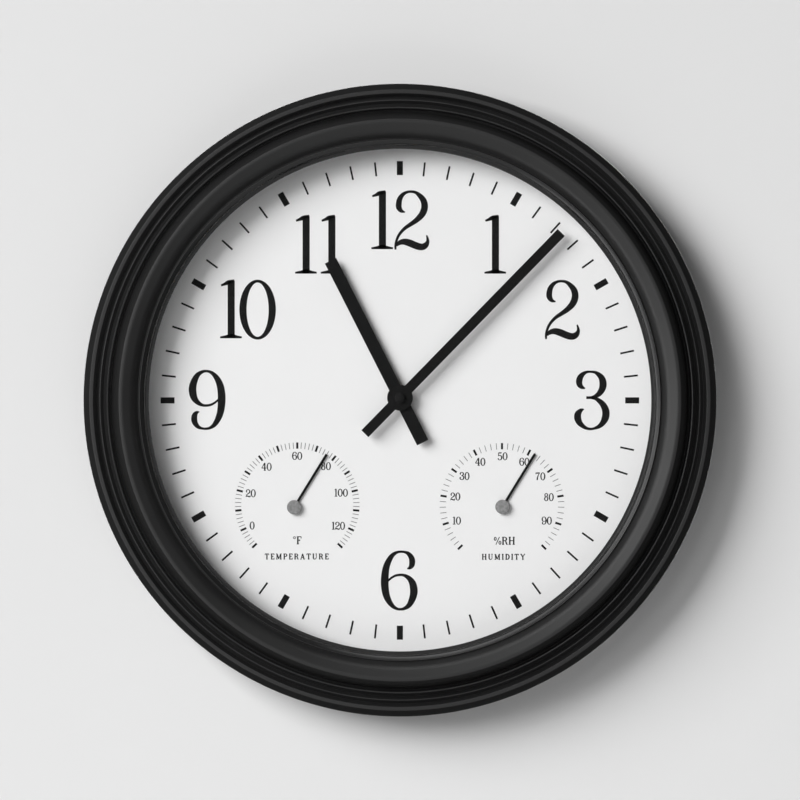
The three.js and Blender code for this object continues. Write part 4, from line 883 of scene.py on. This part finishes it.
def turned_cap(name, node, body, corners, material):
    """A round cap in the node's place, turned from one of the tables of corners."""
    radius, back, front = radius_of(node), back_of(node), front_of(node)
    profile = rounded([(share * radius, back if depth is None else front - depth * MM, rounding * MM)
                       for share, depth, rounding in corners])
    mesh = lathe(name, profile, centre_of(node))
    paint(add_object(name, mesh, body, [node]), material)


def gauge_hand(name):
    pointer, cap = f"{name}_pointer", f"{name}_cap"
    hand(pointer, name, POINTER_ANGLE, POINTER_REACH, 0, POINTER_WIDTH, POINTER_HUB, POINTER_BORE,
         centre_of(cap), POINTER_ROUNDING)
    turned_cap(f"{cap}_disc", cap, name, CAP_PROFILE, "hub_grey")


# Stage, lamps and camera

def rectangle(name, corners):
    """A flat piece of the stage."""
    bm = bmesh.new()
    bm.faces.new([bm.verts.new(corner) for corner in corners])
    mesh = bpy.data.meshes.new(name)
    bm.to_mesh(mesh)
    bm.free()
    piece = bpy.data.objects.new(name, mesh)
    bpy.context.scene.collection.objects.link(piece)
    return piece


def one_sided_paint(name, colour, spread, patch, roughness):
    """Pale paint that shows from the stage piece's front only."""
    material, tree, shader = node_material(name)
    patches = noise(tree, patch, STAGE_DETAIL)
    tree.links.new(drift(tree, patches, *shades((colour,) * 3, spread)), shader.inputs["Base Color"])
    shader.inputs["Roughness"].default_value = roughness
    shader.inputs["Specular IOR Level"].default_value = STAGE_SPECULAR
    geometry = tree.nodes.new("ShaderNodeNewGeometry")
    clear = tree.nodes.new("ShaderNodeBsdfTransparent")
    mix = tree.nodes.new("ShaderNodeMixShader")
    tree.links.new(geometry.outputs["Backfacing"], mix.inputs["Fac"])
    tree.links.new(shader.outputs["BSDF"], mix.inputs[1])
    tree.links.new(clear.outputs["BSDF"], mix.inputs[2])
    tree.links.new(mix.outputs["Shader"], tree.nodes["Material Output"].inputs["Surface"])
    return material


def wall():
    """The pale wall that carries the clock. It takes shadows and lends no light to the rest."""
    w, y = WALL_HALF_WIDTH, WALL_GAP
    piece = rectangle("wall", [(-w, y, FLOOR_Z), (w, y, FLOOR_Z), (w, y, WALL_TOP), (-w, y, WALL_TOP)])
    coat = one_sided_paint("wall_paint", WALL_COLOUR, spread=0.004, patch=4, roughness=0.9)
    piece.data.materials.append(coat)
    piece.visible_diffuse = False
    piece.visible_glossy = False
    piece.visible_transmission = False
    piece.visible_shadow = False


def floor():
    w, d = WALL_HALF_WIDTH, FLOOR_DEPTH
    piece = rectangle("floor", [(-w, -d, FLOOR_Z), (w, -d, FLOOR_Z), (w, d, FLOOR_Z), (-w, d, FLOOR_Z)])
    coat = one_sided_paint("floor_paint", FLOOR_COLOUR, spread=0.01, patch=3, roughness=0.8)
    piece.data.materials.append(coat)
    piece.visible_glossy = False


def lamp(name, azimuth, off_axis, distance, length, width, watts, mirrored, lights):
    """A soft lamp aimed at the case's centre."""
    turn, lean = math.radians(azimuth), math.radians(off_axis)
    out = Vector((math.cos(turn) * math.sin(lean), -math.cos(lean), math.sin(turn) * math.sin(lean)))
    along = Vector((math.cos(turn) * math.cos(lean), math.sin(lean), math.sin(turn) * math.cos(lean)))
    data = bpy.data.lights.new(name, "AREA")
    data.shape = "RECTANGLE"
    data.size = length
    data.size_y = width
    data.energy = watts
    holder = bpy.data.objects.new(name, data)
    facing = Matrix((along, out.cross(along), out)).transposed().to_4x4()
    holder.matrix_world = Matrix.Translation(CASE_CENTRE + out * distance) @ facing
    holder.visible_camera = False
    holder.visible_glossy = mirrored
    holder.visible_diffuse = lights
    bpy.context.scene.collection.objects.link(holder)


def world():
    """A dim even light, behind which the camera sees a pale grey."""
    scene_world = bpy.data.worlds.new("studio")
    scene_world.use_nodes = True
    tree = scene_world.node_tree
    ambient = tree.nodes["Background"]
    ambient.inputs["Color"].default_value = (1, 1, 1, 1)
    ambient.inputs["Strength"].default_value = AMBIENT
    seen = tree.nodes.new("ShaderNodeBackground")
    seen.inputs["Color"].default_value = (BACKGROUND, BACKGROUND, BACKGROUND, 1)
    seen.inputs["Strength"].default_value = 1.0
    path = tree.nodes.new("ShaderNodeLightPath")
    either = tree.nodes.new("ShaderNodeMath")
    either.operation = "MAXIMUM"
    tree.links.new(path.outputs["Is Camera Ray"], either.inputs[0])
    tree.links.new(path.outputs["Is Transmission Ray"], either.inputs[1])
    mix = tree.nodes.new("ShaderNodeMixShader")
    tree.links.new(either.outputs["Value"], mix.inputs["Fac"])
    tree.links.new(ambient.outputs["Background"], mix.inputs[1])
    tree.links.new(seen.outputs["Background"], mix.inputs[2])
    tree.links.new(mix.outputs["Shader"], tree.nodes["World Output"].inputs["Surface"])
    bpy.context.scene.world = scene_world


def camera():
    """A long lens straight in front, framed so that the case has its size and place in the photograph."""
    metres_per_pixel = 2 * CASE_RADIUS / CASE_PIXELS
    data = bpy.data.cameras.new("camera")
    data.sensor_width = SENSOR
    data.lens = SENSOR * (CAMERA_DISTANCE - EDGE_HEIGHT) / (metres_per_pixel * PICTURE_PIXELS)
    data.clip_end = 2 * CAMERA_DISTANCE
    holder = bpy.data.objects.new("camera", data)
    middle = PICTURE_PIXELS / 2
    x = CASE_CENTRE.x + (middle - CENTRE_PIXEL[0]) * metres_per_pixel
    z = CASE_CENTRE.z - (middle - CENTRE_PIXEL[1]) * metres_per_pixel
    holder.location = (x, -CAMERA_DISTANCE, z)
    holder.rotation_euler = (math.pi / 2, 0, 0)
    bpy.context.scene.collection.objects.link(holder)
    bpy.context.scene.camera = holder


dress_frame()
bezel()
minute_track()
for text, (x, z) in NUMERAL_PLACES.items():
    numeral(text, x, z)
for gauge in SCALES:
    gauge_print(gauge)
for sizes in HANDS:
    hand(*sizes, HAND_CENTRE, HAND_ROUNDING)
turned_cap("cap_nut", "hand_cap_nut", "minute", NUT_PROFILE, "nut_paint")
for gauge in SCALES:
    gauge_hand(gauge)
wall()
floor()
for name, settings in LAMPS.items():
    lamp(name, *settings)
world()
camera()
bpy.context.scene.view_settings.view_transform = "Standard"
